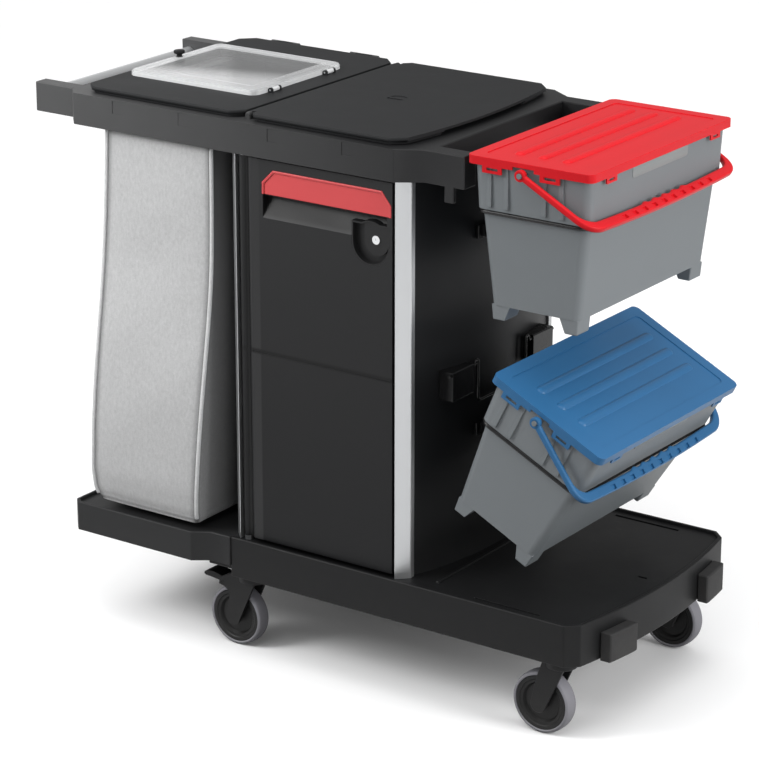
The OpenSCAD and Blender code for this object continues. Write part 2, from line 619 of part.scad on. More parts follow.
// Bail about its pivot, then dropped to its rest angle
module bail() {
  bv = box_l / 2 + 2.3;
  arm = bail_arm;
  translate([-12, 0, 80]) rotate([0, bail_drop, 0]) difference() {
    union() {
      both() {
        rod_y(0, bv, bv + 9.7, 0, 11);
        block(0, arm - 42, bv, bv + 9.7, -8, 8);
        translate([arm - 42, bv - 32.3, -8]) rotate_extrude(angle = 90) translate([32.3, 0]) square([9.7, 16]);
      }
      block(arm - 14, arm + 4, 31.7 - bv, bv - 31.7, -8, 8);
      for (i = [-2 : 2]) prism([[arm - 13, i * 34 - 15], [arm - 13, i * 34 + 15],
        [arm - 17.4, i * 34 + 9], [arm - 17.4, i * 34 - 9]], -2, 6);
    }
    both() rod_y(0, bv - 1, bv + 11, 0, 5 + pin_gap);
    for (i = [-3.5 : 3.5]) block(arm - 10, arm - 0.5, i * 34 - 12, i * 34 + 12, 2, 9);
    for (i = [-5, 5]) block(arm - 10, arm - 0.5, i * 34 - 12, i * 34 + 12, 2, 9);
  }
}
module at_upper() translate([up_px + piv_u, 0, up_pz + piv_w]) children();
module at_lower() translate([low_px, 0, low_pz]) rotate([0, box_tilt, 0]) translate([piv_u, 0, piv_w]) children();
module upper_ring() color("#131415") at_upper() box_ring();
module upper_box() color("#7d8286") at_upper() box_shell();
module upper_box_lid() color("#d21f26") at_upper() box_cover();
module upper_handle() color("#d21f26") at_upper() bail();
module lower_ring() color("#131415") at_lower() box_ring();
module lower_box() color("#7d8286") at_lower() box_shell();
module lower_box_lid() color("#2360a8") at_lower() box_cover();
module lower_handle() color("#2360a8") at_lower() bail();

// Casters about the stem axis, wheel trailing toward -X
module caster_stems() color("#9a9c9f") for (x = stem_x) both() translate([x, stem_y, 0]) {
  block(-32, 32, -32, 32, seat_h - 4, seat_h - 0.2);
  translate([0, 0, seat_h - 28]) cylinder(r = 6, h = 25);
  translate([0, 0, seat_h - 28]) cylinder(r = 9, h = 6.7);
}
wr = wheel_d / 2;
leg0 = tyre_w / 2 + 2.5;
leg1 = leg0 + 6;
module fork(brake) {
  difference() {
    union() {
      translate([0, 0, seat_h - 25]) cylinder(r = 27, h = 20.7);
      block(-20, 18, -leg1, leg1, seat_h - 23, seat_h - 6);
      both() {
        side(concat([[18, seat_h - 8], [17, seat_h - 33], [16.5 - trail, wr - 3], [-trail - 16.5, wr + 3],
          [-trail - 6, wr + 52]],
          brake ? [[-56, wr + 62], [-70, wr + 65], [-68, wr + 80], [-20, seat_h - 8]] : [[-24, seat_h - 8]]),
          leg0, leg1);
        rod_y(-trail, leg0, leg1, wr, 17);
      }
    }
    translate([0, 0, seat_h - 30]) cylinder(r = 6 + pin_gap, h = 40);
    translate([0, 0, seat_h - 30]) cylinder(r = 9.3, h = 9);
    rod_y(-trail, 1.2 - leg1, leg1 - 1.2, wr, 4 + pin_gap);
    if (brake) rod_y(-61, -leg1 - 1, leg1 + 1, wr + 71.5, 3 + pin_gap);
  }
}
module axle() {
  rod_y(-trail, 1.4 - leg1, leg1 - 1.4, wr, 4);
}
hub_r = wr - 8;
module hub() {
  w = tyre_w / 2 - 0.8;
  e = leg0 - 0.5;
  translate([-trail, 0, wr]) rotate([90, 0, 0]) rotate_extrude() polygon([[4 + pin_gap, -e], [12, -e], [13, -9],
    [hub_r - 18, -7], [hub_r - 14, -w + 3], [hub_r - 9, -w + 2], [hub_r - 7, -w], [hub_r - 1, -w], [hub_r, -w + 1],
    [hub_r, w - 1], [hub_r - 1, w], [hub_r - 7, w], [hub_r - 9, w - 2], [hub_r - 14, w - 3], [hub_r - 18, 7],
    [13, 9], [12, e], [4 + pin_gap, e]]);
}
module tyre() {
  h = tyre_w / 2;
  translate([-trail, 0, wr]) rotate([90, 0, 0]) rotate_extrude() polygon([[hub_r + 0.1, -h + 1.2], [hub_r + 1, -h],
    [wr - 5, -h], [wr - 2, -h + 2], [wr - 0.6, -h + 6], [wr, -h + 12], [wr, h - 12], [wr - 0.6, h - 6],
    [wr - 2, h - 2], [wr - 5, h], [hub_r + 1, h], [hub_r + 0.1, h - 1.2]]);
}
module pedal() {
  rod_y(-61, 0.3 - leg1, leg1 - 0.3, wr + 71.5, 3);
  rod_y(-61, 0.5 - leg0, leg0 - 0.5, wr + 71.5, 6.5);
  side([[-61, wr + 67], [-61, wr + 78], [-90, wr + 84], [-104, wr + 83], [-112, wr + 79], [-113, wr + 75],
    [-108, wr + 72], [-92, wr + 71]], 1 - leg0, leg0 - 1);
}
module fr() translate([stem_x[0], -stem_y, 0]) children();
module br() translate([stem_x[0], stem_y, 0]) children();
module fl() translate([stem_x[1], -stem_y, 0]) children();
module bl() translate([stem_x[1], stem_y, 0]) children();
module fork_front_right() color("#1a1b1c") fr() fork(false);
module axle_front_right() color("#9a9c9f") fr() axle();
module hub_front_right() color("#161718") fr() hub();
module tyre_front_right() color("#8e9092") fr() tyre();
module fork_back_right() color("#1a1b1c") br() fork(false);
module axle_back_right() color("#9a9c9f") br() axle();
module hub_back_right() color("#161718") br() hub();
module tyre_back_right() color("#8e9092") br() tyre();
module fork_front_left() color("#1a1b1c") fl() fork(true);
module axle_front_left() color("#9a9c9f") fl() axle();
module hub_front_left() color("#161718") fl() hub();
module tyre_front_left() color("#8e9092") fl() tyre();
module fork_back_left() color("#1a1b1c") bl() fork(true);
module axle_back_left() color("#9a9c9f") bl() axle();
module hub_back_left() color("#161718") bl() hub();
module tyre_back_left() color("#8e9092") bl() tyre();
module pedal_front_left() color("#131415") fl() pedal();
module pedal_back_left() color("#131415") bl() pedal();

base_platform();
end_bumpers();
bag_tray();
front_right_post();
front_left_post();
back_right_post();
back_left_post();
top_frame();
push_bar();
back_panel();
end_panel();
bag_side_panel();
shelf();
top_tray();
door_hinge_pins();
lid_hinge_pins();
hook_blocks();
hook_wire();
upper_box_bracket();
lower_box_bracket();
bag();
caster_stems();
door_panel();
door_insert();
lock_housing();
lock_cylinder();
lock_cam();
bag_lid();
flap_hinge_pins();
clear_flap();
flap_knob();
tray_lid();
upper_ring();
upper_box();
upper_box_lid();
upper_handle();
lower_ring();
lower_box();
lower_box_lid();
lower_handle();
fork_front_right();
axle_front_right();
hub_front_right();
tyre_front_right();
fork_back_right();
axle_back_right();
hub_back_right();
tyre_back_right();
fork_front_left();
axle_front_left();
hub_front_left();
tyre_front_left();
fork_back_left();
axle_back_left();
hub_back_left();
tyre_back_left();
pedal_front_left();
pedal_back_left();
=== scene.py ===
import json
import math

import bpy
import bmesh
import numpy as np
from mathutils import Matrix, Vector


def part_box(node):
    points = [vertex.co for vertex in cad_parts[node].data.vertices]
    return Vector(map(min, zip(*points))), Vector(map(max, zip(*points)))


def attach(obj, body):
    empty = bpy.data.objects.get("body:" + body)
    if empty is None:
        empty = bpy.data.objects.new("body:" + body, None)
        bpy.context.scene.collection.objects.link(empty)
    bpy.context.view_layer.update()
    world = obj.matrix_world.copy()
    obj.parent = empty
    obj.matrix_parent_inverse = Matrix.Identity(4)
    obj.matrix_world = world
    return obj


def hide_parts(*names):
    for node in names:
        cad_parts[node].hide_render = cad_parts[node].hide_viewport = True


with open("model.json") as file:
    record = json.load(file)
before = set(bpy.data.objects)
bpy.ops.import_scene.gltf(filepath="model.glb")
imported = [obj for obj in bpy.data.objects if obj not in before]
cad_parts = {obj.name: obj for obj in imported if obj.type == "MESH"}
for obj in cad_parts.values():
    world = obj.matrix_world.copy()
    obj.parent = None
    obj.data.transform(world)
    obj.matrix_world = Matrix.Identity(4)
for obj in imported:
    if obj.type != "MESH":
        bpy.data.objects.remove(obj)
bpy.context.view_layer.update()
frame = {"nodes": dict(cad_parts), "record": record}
nodes = frame["nodes"]
bodyOf = {node: body for body, members in frame["record"]["behaviour"]["bodies"].items() for node in members}
joints = {joint["name"]: joint for joint in frame["record"]["behaviour"]["joints"]}
levels = ("upper", "lower")
corners = ("front_right", "back_right", "front_left", "back_left")
print("frame loaded:", len(nodes), "nodes")


# shader groups: each one puts out values that change over the surface

def newGroup(name, inputs, outputs):
    group = bpy.data.node_groups.new(name, "ShaderNodeTree")
    group.interface.new_socket("Vector", in_out="INPUT", socket_type="NodeSocketVector")
    for label, value in inputs.items():
        socket = group.interface.new_socket(label, in_out="INPUT", socket_type="NodeSocketFloat")
        socket.default_value = value
    for label in outputs:
        group.interface.new_socket(label, in_out="OUTPUT", socket_type="NodeSocketFloat")
    return group, group.nodes.new("NodeGroupInput"), group.nodes.new("NodeGroupOutput")


def addNode(tree, kind, **values):
    node = tree.nodes.new(kind)
    for key, value in values.items():
        setattr(node, key, value)
    return node


# a socket gets a number as its value, or a link from another socket
def feed(tree, socket, value):
    if isinstance(value, (int, float)):
        socket.default_value = value
    else:
        tree.links.new(value, socket)


def mathNode(tree, operation, a, b=None, clamp=False):
    node = addNode(tree, "ShaderNodeMath", operation=operation, use_clamp=clamp)
    feed(tree, node.inputs[0], a)
    if b is not None:
        feed(tree, node.inputs[1], b)
    return node.outputs[0]


# value less start, times scale, kept between nought and one
def rampNode(tree, value, start, scale):
    return mathNode(tree, "MULTIPLY", mathNode(tree, "SUBTRACT", value, start), scale, clamp=True)


def noiseNode(tree, vector, scale, detail=3.0, rough=0.55):
    node = addNode(tree, "ShaderNodeTexNoise")
    tree.links.new(vector, node.inputs["Vector"])
    node.inputs["Detail"].default_value = detail
    node.inputs["Roughness"].default_value = rough
    feed(tree, node.inputs["Scale"], scale)
    return node.outputs["Fac"]


def stretchedCoords(tree, vector, stretch):
    node = addNode(tree, "ShaderNodeMapping")
    node.inputs["Scale"].default_value = stretch
    tree.links.new(vector, node.inputs["Vector"])
    return node.outputs[0]


def splitCoords(tree, vector):
    node = addNode(tree, "ShaderNodeSeparateXYZ")
    tree.links.new(vector, node.inputs[0])
    return node.outputs


# moulded grain: fine cells for the spark finish plus slow clouds for uneven gloss
def makeMouldGrain():
    inputs = {"Grain Scale": 900.0, "Cloud Scale": 9.0}
    group, source, sink = newGroup("mouldGrain", inputs, ("Height", "Cloud"))
    vector = source.outputs["Vector"]
    cells = addNode(group, "ShaderNodeTexVoronoi", feature="SMOOTH_F1")
    group.links.new(vector, cells.inputs["Vector"])
    group.links.new(source.outputs["Grain Scale"], cells.inputs["Scale"])
    fine = noiseNode(group, vector, source.outputs["Grain Scale"], 2.0)
    height = mathNode(group, "MULTIPLY", mathNode(group, "ADD", cells.outputs["Distance"], fine), 0.5)
    group.links.new(height, sink.inputs["Height"])
    group.links.new(noiseNode(group, vector, source.outputs["Cloud Scale"], 4.0), sink.inputs["Cloud"])
    return group


# dust mask: grows toward the floor between two heights and is broken up by noise
def makeFloorDust():
    group, source, sink = newGroup("floorDust", {"Low": 0.0, "High": 0.35, "Amount": 0.3}, ("Mask",))
    vector = source.outputs["Vector"]
    ramp = addNode(group, "ShaderNodeMapRange")
    group.links.new(splitCoords(group, vector)["Z"], ramp.inputs["Value"])
    group.links.new(source.outputs["Low"], ramp.inputs["From Min"])
    group.links.new(source.outputs["High"], ramp.inputs["From Max"])
    ramp.inputs["To Min"].default_value = 1.0
    ramp.inputs["To Max"].default_value = 0.0
    broken = mathNode(group, "MULTIPLY", ramp.outputs[0], noiseNode(group, vector, 38.0, 5.0, 0.65))
    group.links.new(mathNode(group, "MULTIPLY", broken, source.outputs["Amount"]), sink.inputs["Mask"])
    return group


# scuffs: long thin noise streaks kept only near their peaks
def makeHandScuff():
    group, source, sink = newGroup("handScuff", {"Amount": 0.2}, ("Mask",))
    streak = noiseNode(group, stretchedCoords(group, source.outputs["Vector"], (9, 34, 150)), 3.0, 5.0, 0.7)
    peak = rampNode(group, streak, 0.6, 5.0)
    group.links.new(mathNode(group, "MULTIPLY", peak, source.outputs["Amount"]), sink.inputs["Mask"])
    return group


# drawn metal: noise on coordinates that each finish pulls out along one axis
def makeDrawnLines():
    group, source, sink = newGroup("drawnLines", {}, ("Lines",))
    group.links.new(noiseNode(group, source.outputs["Vector"], 1.0, 4.0, 0.6), sink.inputs["Lines"])
    return group


# heather cloth: two crossed thread waves for the height, and light and dark fibre flecks from two stretched
# noises; the waves are turned an eighth about the upright axis, so the threads cross every upright panel
def makeHeatherWeave():
    group, source, sink = newGroup("heatherWeave", {"Thread": 420.0}, ("Height", "Fleck"))
    vector = source.outputs["Vector"]
    turned = addNode(group, "ShaderNodeMapping")
    turned.inputs["Rotation"].default_value = (0, 0, math.pi / 4)
    turned.inputs["Scale"].default_value = (math.sqrt(2), math.sqrt(2), 1)
    group.links.new(vector, turned.inputs["Vector"])
    waves = []
    for direction in ("X", "Z"):
        wave = addNode(group, "ShaderNodeTexWave", wave_type="BANDS", bands_direction=direction)
        group.links.new(turned.outputs[0], wave.inputs["Vector"])
        group.links.new(source.outputs["Thread"], wave.inputs["Scale"])
        wave.inputs["Distortion"].default_value = 1.6
        wave.inputs["Detail"].default_value = 2.0
        wave.inputs["Detail Scale"].default_value = 1.4
        waves.append(wave.outputs["Fac"])
    height = mathNode(group, "MULTIPLY", mathNode(group, "ADD", waves[0], waves[1]), 0.5)
    group.links.new(height, sink.inputs["Height"])
    flecks = noiseNode(group, stretchedCoords(group, vector, (260, 260, 700)), 1.0, 5.0, 0.75)
    streaks = noiseNode(group, stretchedCoords(group, vector, (190, 190, 95)), 1.0, 4.0, 0.7)
    fleckShare = mathNode(group, "MULTIPLY", flecks, 0.45)
    streakShare = mathNode(group, "MULTIPLY", streaks, 0.55)
    group.links.new(mathNode(group, "ADD", fleckShare, streakShare), sink.inputs["Fleck"])
    return group


mouldGrain = makeMouldGrain()
floorDust = makeFloorDust()
handScuff = makeHandScuff()
drawnLines = makeDrawnLines()
heatherWeave = makeHeatherWeave()
print("shader groups built")


def placeGroup(tree, group, vector, **values):
    node = addNode(tree, "ShaderNodeGroup", node_tree=group)
    tree.links.new(vector, node.inputs["Vector"])
    for label, value in values.items():
        node.inputs[label.replace("_", " ")].default_value = value
    return node.outputs


def startMaterial(name):
    material = bpy.data.materials.new(name)
    material.use_nodes = True
    tree = material.node_tree
    shader = tree.nodes["Principled BSDF"]
    coords = addNode(tree, "ShaderNodeTexCoord").outputs["Object"]
    return material, tree, shader, coords


def mixColour(tree, factor, a, b):
    node = addNode(tree, "ShaderNodeMix", data_type="RGBA")
    tree.links.new(factor, node.inputs["Factor"])
    for label, value in (("A", a), ("B", b)):
        socket = [s for s in node.inputs if s.name == label and s.type == "RGBA"][0]
        if isinstance(value, tuple):
            socket.default_value = (*value, 1.0)
        else:
            tree.links.new(value, socket)
    return [s for s in node.outputs if s.type == "RGBA"][0]


def addBump(tree, shader, height, strength, distance):
    bump = addNode(tree, "ShaderNodeBump")
    bump.inputs["Strength"].default_value = strength
    bump.inputs["Distance"].default_value = distance
    tree.links.new(height, bump.inputs["Height"])
    tree.links.new(bump.outputs[0], shader.inputs["Normal"])


# roughness: a start value plus a share of a pattern, less the scuffs
def addRoughness(tree, shader, pattern, share, start, scuff):
    rough = mathNode(tree, "ADD", mathNode(tree, "MULTIPLY", pattern, share), start)
    tree.links.new(mathNode(tree, "SUBTRACT", rough, scuff, clamp=True), shader.inputs["Roughness"])


# share of a band along one axis: full within its half width of the middle, none beyond a soft margin
def bandShare(tree, along, middle, half, soft):
    away = mathNode(tree, "ABSOLUTE", mathNode(tree, "SUBTRACT", along, middle))
    return rampNode(tree, away, half + soft, -1.0 / soft)


# moulded plastic: the base colour drifts with slow clouds, dust lightens it near the floor, scuffs raise the
# gloss, and fades (axis, start, end, colour) and bands (axis, middle, half, soft, colour) paint light and
# shade on an axis
def mouldedPlastic(name, look):
    material, tree, shader, coords = startMaterial(name)
    scales = dict(Grain_Scale=look["grainScale"], Cloud_Scale=look["cloudScale"])
    grain = placeGroup(tree, mouldGrain, coords, **scales)
    dust = placeGroup(tree, floorDust, coords, Low=0.0, High=look["dustTop"], Amount=look["dust"])
    scuff = placeGroup(tree, handScuff, coords, Amount=look["scuff"])
    dark = tuple(c * (1 - look["drift"]) for c in look["colour"])
    light = tuple(min(1.0, c * (1 + look["drift"])) for c in look["colour"])
    cloudsAndPaintedLight = mixColour(tree, grain["Cloud"], dark, light)
    along = splitCoords(tree, coords)
    # painted light and shade: each fade and band mixes in a colour that stands in for light or shade along an
    # axis
    for axis, start, end, colour in look["paintedFades"]:
        cloudsAndPaintedLight = mixColour(tree, rampNode(tree, along[axis], start, 1.0 / (end - start)), cloudsAndPaintedLight, colour)
    for axis, middle, half, soft, colour in look["paintedBands"]:
        cloudsAndPaintedLight = mixColour(tree, bandShare(tree, along[axis], middle, half, soft), cloudsAndPaintedLight, colour)
    tree.links.new(mixColour(tree, dust["Mask"], cloudsAndPaintedLight, look["dustColour"]), shader.inputs["Base Color"])
    addRoughness(tree, shader, grain["Cloud"], look["roughDrift"], look["rough"], scuff["Mask"])
    shader.inputs["Specular IOR Level"].default_value = look["specular"]
    shader.inputs["Coat Weight"].default_value = look["coat"]
    shader.inputs["Coat Roughness"].default_value = look["coatRough"]
    addBump(tree, shader, grain["Height"], look["bump"], look["bumpDepth"])
    return material


# drawn or plated metal: lines along one axis move the brightness and the roughness
def drawnMetal(name, look):
    material, tree, shader, coords = startMaterial(name)
    lines = placeGroup(tree, drawnLines, stretchedCoords(tree, coords, look["stretch"]))["Lines"]
    scuff = placeGroup(tree, handScuff, coords, Amount=look["scuff"])
    dark = tuple(c * (1 - look["drift"]) for c in look["colour"])
    tree.links.new(mixColour(tree, lines, dark, look["colour"]), shader.inputs["Base Color"])
    addRoughness(tree, shader, lines, look["roughDrift"], look["rough"], scuff["Mask"])
    shader.inputs["Metallic"].default_value = look["metal"]
    addBump(tree, shader, lines, look["bump"], look["bumpDepth"])
    return material


# clear moulding: how much of the plastic shows follows the distance in from its outline, because the thick
# rim and the step round the raised middle gather light, and the flat middle lets the lid below show through
def clearMoulding(name, look, low, high):
    material, tree, shader, coords = startMaterial(name)
    cloud = noiseNode(tree, coords, look["cloudScale"])
    tree.links.new(mixColour(tree, cloud, look["colour"], look["cloudColour"]), shader.inputs["Base Color"])
    rough = mathNode(tree, "ADD", mathNode(tree, "MULTIPLY", cloud, look["roughDrift"]), look["rough"])
    tree.links.new(rough, shader.inputs["Roughness"])
    along = splitCoords(tree, coords)
    reach = []
    for axis, a, b in (("X", low[0], high[0] - look["knuckle"]), ("Y", low[1], high[1])):
        offset = mathNode(tree, "ABSOLUTE", mathNode(tree, "SUBTRACT", along[axis], (a + b) / 2))
        reach.append(mathNode(tree, "SUBTRACT", offset, (b - a) / 2))
    outmost = mathNode(tree, "MAXIMUM", reach[0], reach[1])
    inward = mathNode(tree, "MULTIPLY", outmost, -1.0 / look["band"], clamp=True)
    ramp = addNode(tree, "ShaderNodeValToRGB")
    tree.links.new(inward, ramp.inputs["Fac"])
    while len(ramp.color_ramp.elements) < len(look["shows"]):
        ramp.color_ramp.elements.new(0.5)
    for element, (place, share) in zip(ramp.color_ramp.elements, look["shows"]):
        element.position = place
        element.color = (share, share, share, 1)
    # painted sheen: a brightness that stands in for a reflection, growing from the back corner toward the
    # front one
    slant = mathNode(tree, "SUBTRACT", mathNode(tree, "MULTIPLY", along["X"], look["paintedSheenTurn"]), along["Y"])
    middle = look["paintedSheenTurn"] * (low[0] + high[0]) / 2 + look["paintedSheenStart"]
    paintedSheen = rampNode(tree, slant, middle, 1.0 / look["paintedSheenWidth"])
    paintedSheen = mathNode(tree, "MULTIPLY", paintedSheen, look["paintedSheenShows"])
    tree.links.new(mathNode(tree, "MAXIMUM", ramp.outputs["Color"], paintedSheen), shader.inputs["Alpha"])
    addBump(tree, shader, cloud, look["bump"], look["bumpDepth"])
    return material


# bag cloth: flecks move the colour, the shade attribute darkens it with painted shade, and the crossed
# threads make the bump
def bagCloth(name, look):
    material, tree, shader, coords = startMaterial(name)
    weave = placeGroup(tree, heatherWeave, coords, Thread=look["thread"])
    paintedShade = addNode(tree, "ShaderNodeAttribute", attribute_name="paintedShade").outputs["Fac"]
    cloth = mixColour(tree, rampNode(tree, weave["Fleck"], *look["fleck"]), look["dark"], look["light"])
    tree.links.new(mixColour(tree, paintedShade, cloth, look["paintedShadeColour"]), shader.inputs["Base Color"])
    rough = mathNode(tree, "MULTIPLY", weave["Height"], look["roughDrift"])
    tree.links.new(mathNode(tree, "ADD", rough, look["rough"]), shader.inputs["Roughness"])
    shader.inputs["Sheen Weight"].default_value = look["sheen"]
    shader.inputs["Specular IOR Level"].default_value = look["specular"]
    addBump(tree, shader, weave["Height"], look["bump"], look["bumpDepth"])
    return material


# what a finish doesn't say comes from the base of its kind
plasticBase = dict(
    drift=0.12, rough=0.42, roughDrift=0.14, grainScale=1100.0, cloudScale=9.0, bump=0.16, bumpDepth=0.0004,
    dust=0.0, dustTop=0.3, dustColour=(0.33, 0.32, 0.3), scuff=0.1, specular=0.5, coat=0.0, coatRough=0.2,
    paintedFades=(), paintedBands=())
plasticLooks = {
    # charcoal frame: its fade is painted light, lighter at the left end and darker toward the right end
    "charcoalMoulding": dict(
        colour=(0.062, 0.0625, 0.0635), drift=0.16, dust=0.12, dustTop=0.28, specular=0.3,
        paintedFades=(("X", -0.55, 0.24, (0.010, 0.0102, 0.011)),)),
    "baseMoulding": dict(colour=(0.0060, 0.0062, 0.0067), drift=0.16, dust=0.05, dustTop=0.28, specular=0.17),
    "trayMoulding": dict(colour=(0.0155, 0.0158, 0.0165), drift=0.16, dust=0.06, dustTop=0.28, specular=0.2),
    "lidBlack": dict(
        colour=(0.0185, 0.019, 0.020), drift=0.14, rough=0.46, grainScale=1300.0, bump=0.14,
        scuff=0.08, specular=0.1),
    "panelBlack": dict(
        colour=(0.006, 0.0063, 0.007), rough=0.4, roughDrift=0.12, grainScale=1200.0, bump=0.12,
        dust=0.06, dustTop=0.4, scuff=0.08, specular=0.2),
    # door: its fades and bands are painted light and shade
    "doorBlack": dict(
        colour=(0.0052, 0.0054, 0.006), rough=0.4, roughDrift=0.12, grainScale=1200.0, bump=0.12,
        scuff=0.08, specular=0.2,
        # fades: a painted sheen, lighter toward the top, and painted shade deeper in the recess under the
        # insert
        paintedFades=(("Z", 0.35, 1.0, (0.0190, 0.0193, 0.020)), ("Y", -0.2715, -0.268, (0.0035, 0.0036, 0.0038))),
        # bands: a painted highlight along the stile edge, and the painted shadow in the groove
        paintedBands=(("X", -0.1135, 0.0110, 0.003, (0.024, 0.0242, 0.025)),
               ("Z", 0.6413, 0.0028, 0.004, (0.0032, 0.0033, 0.0036)))),
    "housingBlack": dict(
        colour=(0.0115, 0.0116, 0.0122), roughDrift=0.12, grainScale=1200.0, bump=0.1,
        scuff=0.06, specular=0.25),
    "bumperRubber": dict(
        colour=(0.013, 0.013, 0.014), drift=0.2, rough=0.62, grainScale=700.0, bump=0.3,
        dust=0.25, scuff=0.05, specular=0.3),
    "insertRed": dict(
        colour=(0.6, 0.062, 0.067), drift=0.08, rough=0.36, roughDrift=0.1, grainScale=1200.0, bump=0.08,
        scuff=0.06),
    "boxRed": dict(
        colour=(0.64, 0.012, 0.019), drift=0.07, rough=0.34, roughDrift=0.1, grainScale=1000.0, bump=0.07,
        coat=0.02, scuff=0.05, specular=0.14),
    "boxBlue": dict(
        colour=(0.026, 0.123, 0.275), drift=0.07, rough=0.34, roughDrift=0.1, grainScale=1000.0, bump=0.07,
        coat=0.05, scuff=0.05, specular=0.25),
    "boxGrey": dict(
        colour=(0.158, 0.173, 0.183), drift=0.07, rough=0.44, roughDrift=0.12, grainScale=900.0, bump=0.1,
        scuff=0.08),
    "plateGrey": dict(
        colour=(0.225, 0.24, 0.24), drift=0.05, rough=0.4, roughDrift=0.1, grainScale=900.0, bump=0.06,
        scuff=0.05),
    "hubBlack": dict(
        colour=(0.006, 0.006, 0.0065), drift=0.15, rough=0.38, grainScale=900.0, bump=0.12,
        dust=0.08, dustTop=0.14, scuff=0.06, specular=0.2),
    "tyreGrey": dict(
        colour=(0.222, 0.219, 0.243), rough=0.6, roughDrift=0.15, grainScale=800.0, bump=0.2,
        dust=0.3, dustTop=0.1, scuff=0.03),
    "wireBlack": dict(
        colour=(0.005, 0.005, 0.0055), drift=0.15, rough=0.2, roughDrift=0.12, grainScale=1500.0, bump=0.06,
        scuff=0.12, specular=0.3),
}
metalBase = dict(drift=0.1, rough=0.3, roughDrift=0.16, metal=1.0, bump=0.12, bumpDepth=0.0002)
metalLooks = {
    "anodised": dict(colour=(0.47, 0.478, 0.486), metal=0.85, scuff=0.06, stretch=(900, 900, 3)),
    "anodisedBar": dict(colour=(0.74, 0.75, 0.76), metal=0.85, scuff=0.06, stretch=(900, 3, 900)),
    "zincSteel": dict(colour=(0.52, 0.53, 0.54), scuff=0.1, stretch=(300, 300, 300)),
    "lockChrome": dict(colour=(0.78, 0.79, 0.8), rough=0.12, scuff=0.04, stretch=(200, 20, 200)),
}
# shows: place between the outline and the end of the band, and the share of the plastic that shows there
clearLook = dict(
    colour=(0.9, 0.905, 0.91), cloudColour=(0.82, 0.83, 0.84), cloudScale=22.0, rough=0.06, roughDrift=0.08,
    bump=0.06, bumpDepth=0.001, knuckle=0.010, band=0.035,
    # the sheen values on the next line set the painted reflection across the flap: its slant, start, width
    # and share
    paintedSheenTurn=0.3, paintedSheenStart=-0.01, paintedSheenWidth=0.12, paintedSheenShows=0.4,
    shows=((0.0, 0.62), (0.07, 0.5), (0.13, 0.36), (0.24, 0.3),
           (0.64, 0.27), (0.70, 0.42), (0.78, 0.36), (0.86, 0.12)))
clothBase = dict(
    # the dark colour on the next line is the painted shade that the bag's shade attribute mixes in
    fleck=(0.3, 2.4), paintedShadeColour=(0.05, 0.05, 0.052), rough=0.8, roughDrift=0.12, sheen=0.25, specular=0.2,
    bump=0.45, bumpDepth=0.0006)
clothLooks = {
    "heatherCloth": dict(thread=420.0, dark=(0.41, 0.413, 0.416), light=(0.61, 0.612, 0.615)),
    "pipingCloth": dict(thread=700.0, dark=(0.58, 0.585, 0.59), light=(0.78, 0.785, 0.79)),
}
finishes = {name: mouldedPlastic(name, {**plasticBase, **look}) for name, look in plasticLooks.items()}
finishes.update({name: drawnMetal(name, {**metalBase, **look}) for name, look in metalLooks.items()})
finishes["clearMoulding"] = clearMoulding("clearMoulding", clearLook, *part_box("clear_flap"))
finishes.update({name: bagCloth(name, {**clothBase, **look}) for name, look in clothLooks.items()})

nodeFinish = {
    "base_platform": "baseMoulding", "end_bumpers": "bumperRubber", "bag_tray": "trayMoulding",
    "top_frame": "charcoalMoulding", "push_bar": "anodisedBar", "caster_stems": "zincSteel",
    "bag": "heatherCloth", "back_panel": "panelBlack", "end_panel": "panelBlack",
    "bag_side_panel": "panelBlack", "shelf": "panelBlack",
    "top_tray": "lidBlack", "tray_lid": "lidBlack", "bag_lid": "lidBlack", "clear_flap": "clearMoulding",
    "flap_knob": "hubBlack", "door_hinge_pins": "zincSteel", "lid_hinge_pins": "zincSteel",
    "flap_hinge_pins": "zincSteel", "hook_blocks": "wireBlack", "hook_wire": "wireBlack",
    "door_panel": "doorBlack", "door_insert": "insertRed", "lock_housing": "housingBlack",
    "lock_cylinder": "lockChrome", "lock_cam": "zincSteel",
    "upper_box_lid": "boxRed", "upper_handle": "boxRed",
    "lower_box_lid": "boxBlue", "lower_handle": "boxBlue",
    "pedal_front_left": "hubBlack", "pedal_back_left": "hubBlack",
}
for level in levels:
    nodeFinish[level + "_box"] = "boxGrey"
    nodeFinish[level + "_ring"] = "wireBlack"
    nodeFinish[level + "_box_bracket"] = "wireBlack"
for corner in corners:
    nodeFinish["fork_" + corner] = "hubBlack"
    nodeFinish["axle_" + corner] = "zincSteel"
    nodeFinish["hub_" + corner] = "hubBlack"
    nodeFinish["tyre_" + corner] = "tyreGrey"
    nodeFinish[corner + "_post"] = "anodised"


def paint(obj, finish):
    obj.data.materials.clear()
    obj.data.materials.append(finishes[finish])


# a finished piece is painted, rides on the body of a node, and may stand in for the node
def fitPiece(obj, node, finish, standsIn):
    paint(obj, finish)
    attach(obj, bodyOf[node])
    if standsIn:
        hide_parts(node)


for name, obj in nodes.items():
    paint(obj, nodeFinish[name])
print("finishes placed on", len(nodeFinish), "nodes")

# boxes: each has axes of its own (out, across, up), taken from its lift direction and the pivot of its bail
bailPivot = np.array((-0.012, 0.0, 0.080))
lidHalf = (np.array(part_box("upper_box_lid")[1]) - np.array(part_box("upper_box_lid")[0])) / 2


# turn about the across axis
def tiltMatrix(angle):
    cos, sin = math.cos(angle), math.sin(angle)
    return np.array([[cos, 0, sin], [0, 1, 0], [-sin, 0, cos]])


def boxPlacer(level):
    lift = joints[level + "_box_lift"]["axis"]
    turn = tiltMatrix(math.atan2(lift[0], lift[2]))
    origin = np.array(joints[level + "_handle_swing"]["pos_m"]) - turn @ bailPivot
    return lambda points: origin + points @ turn.T


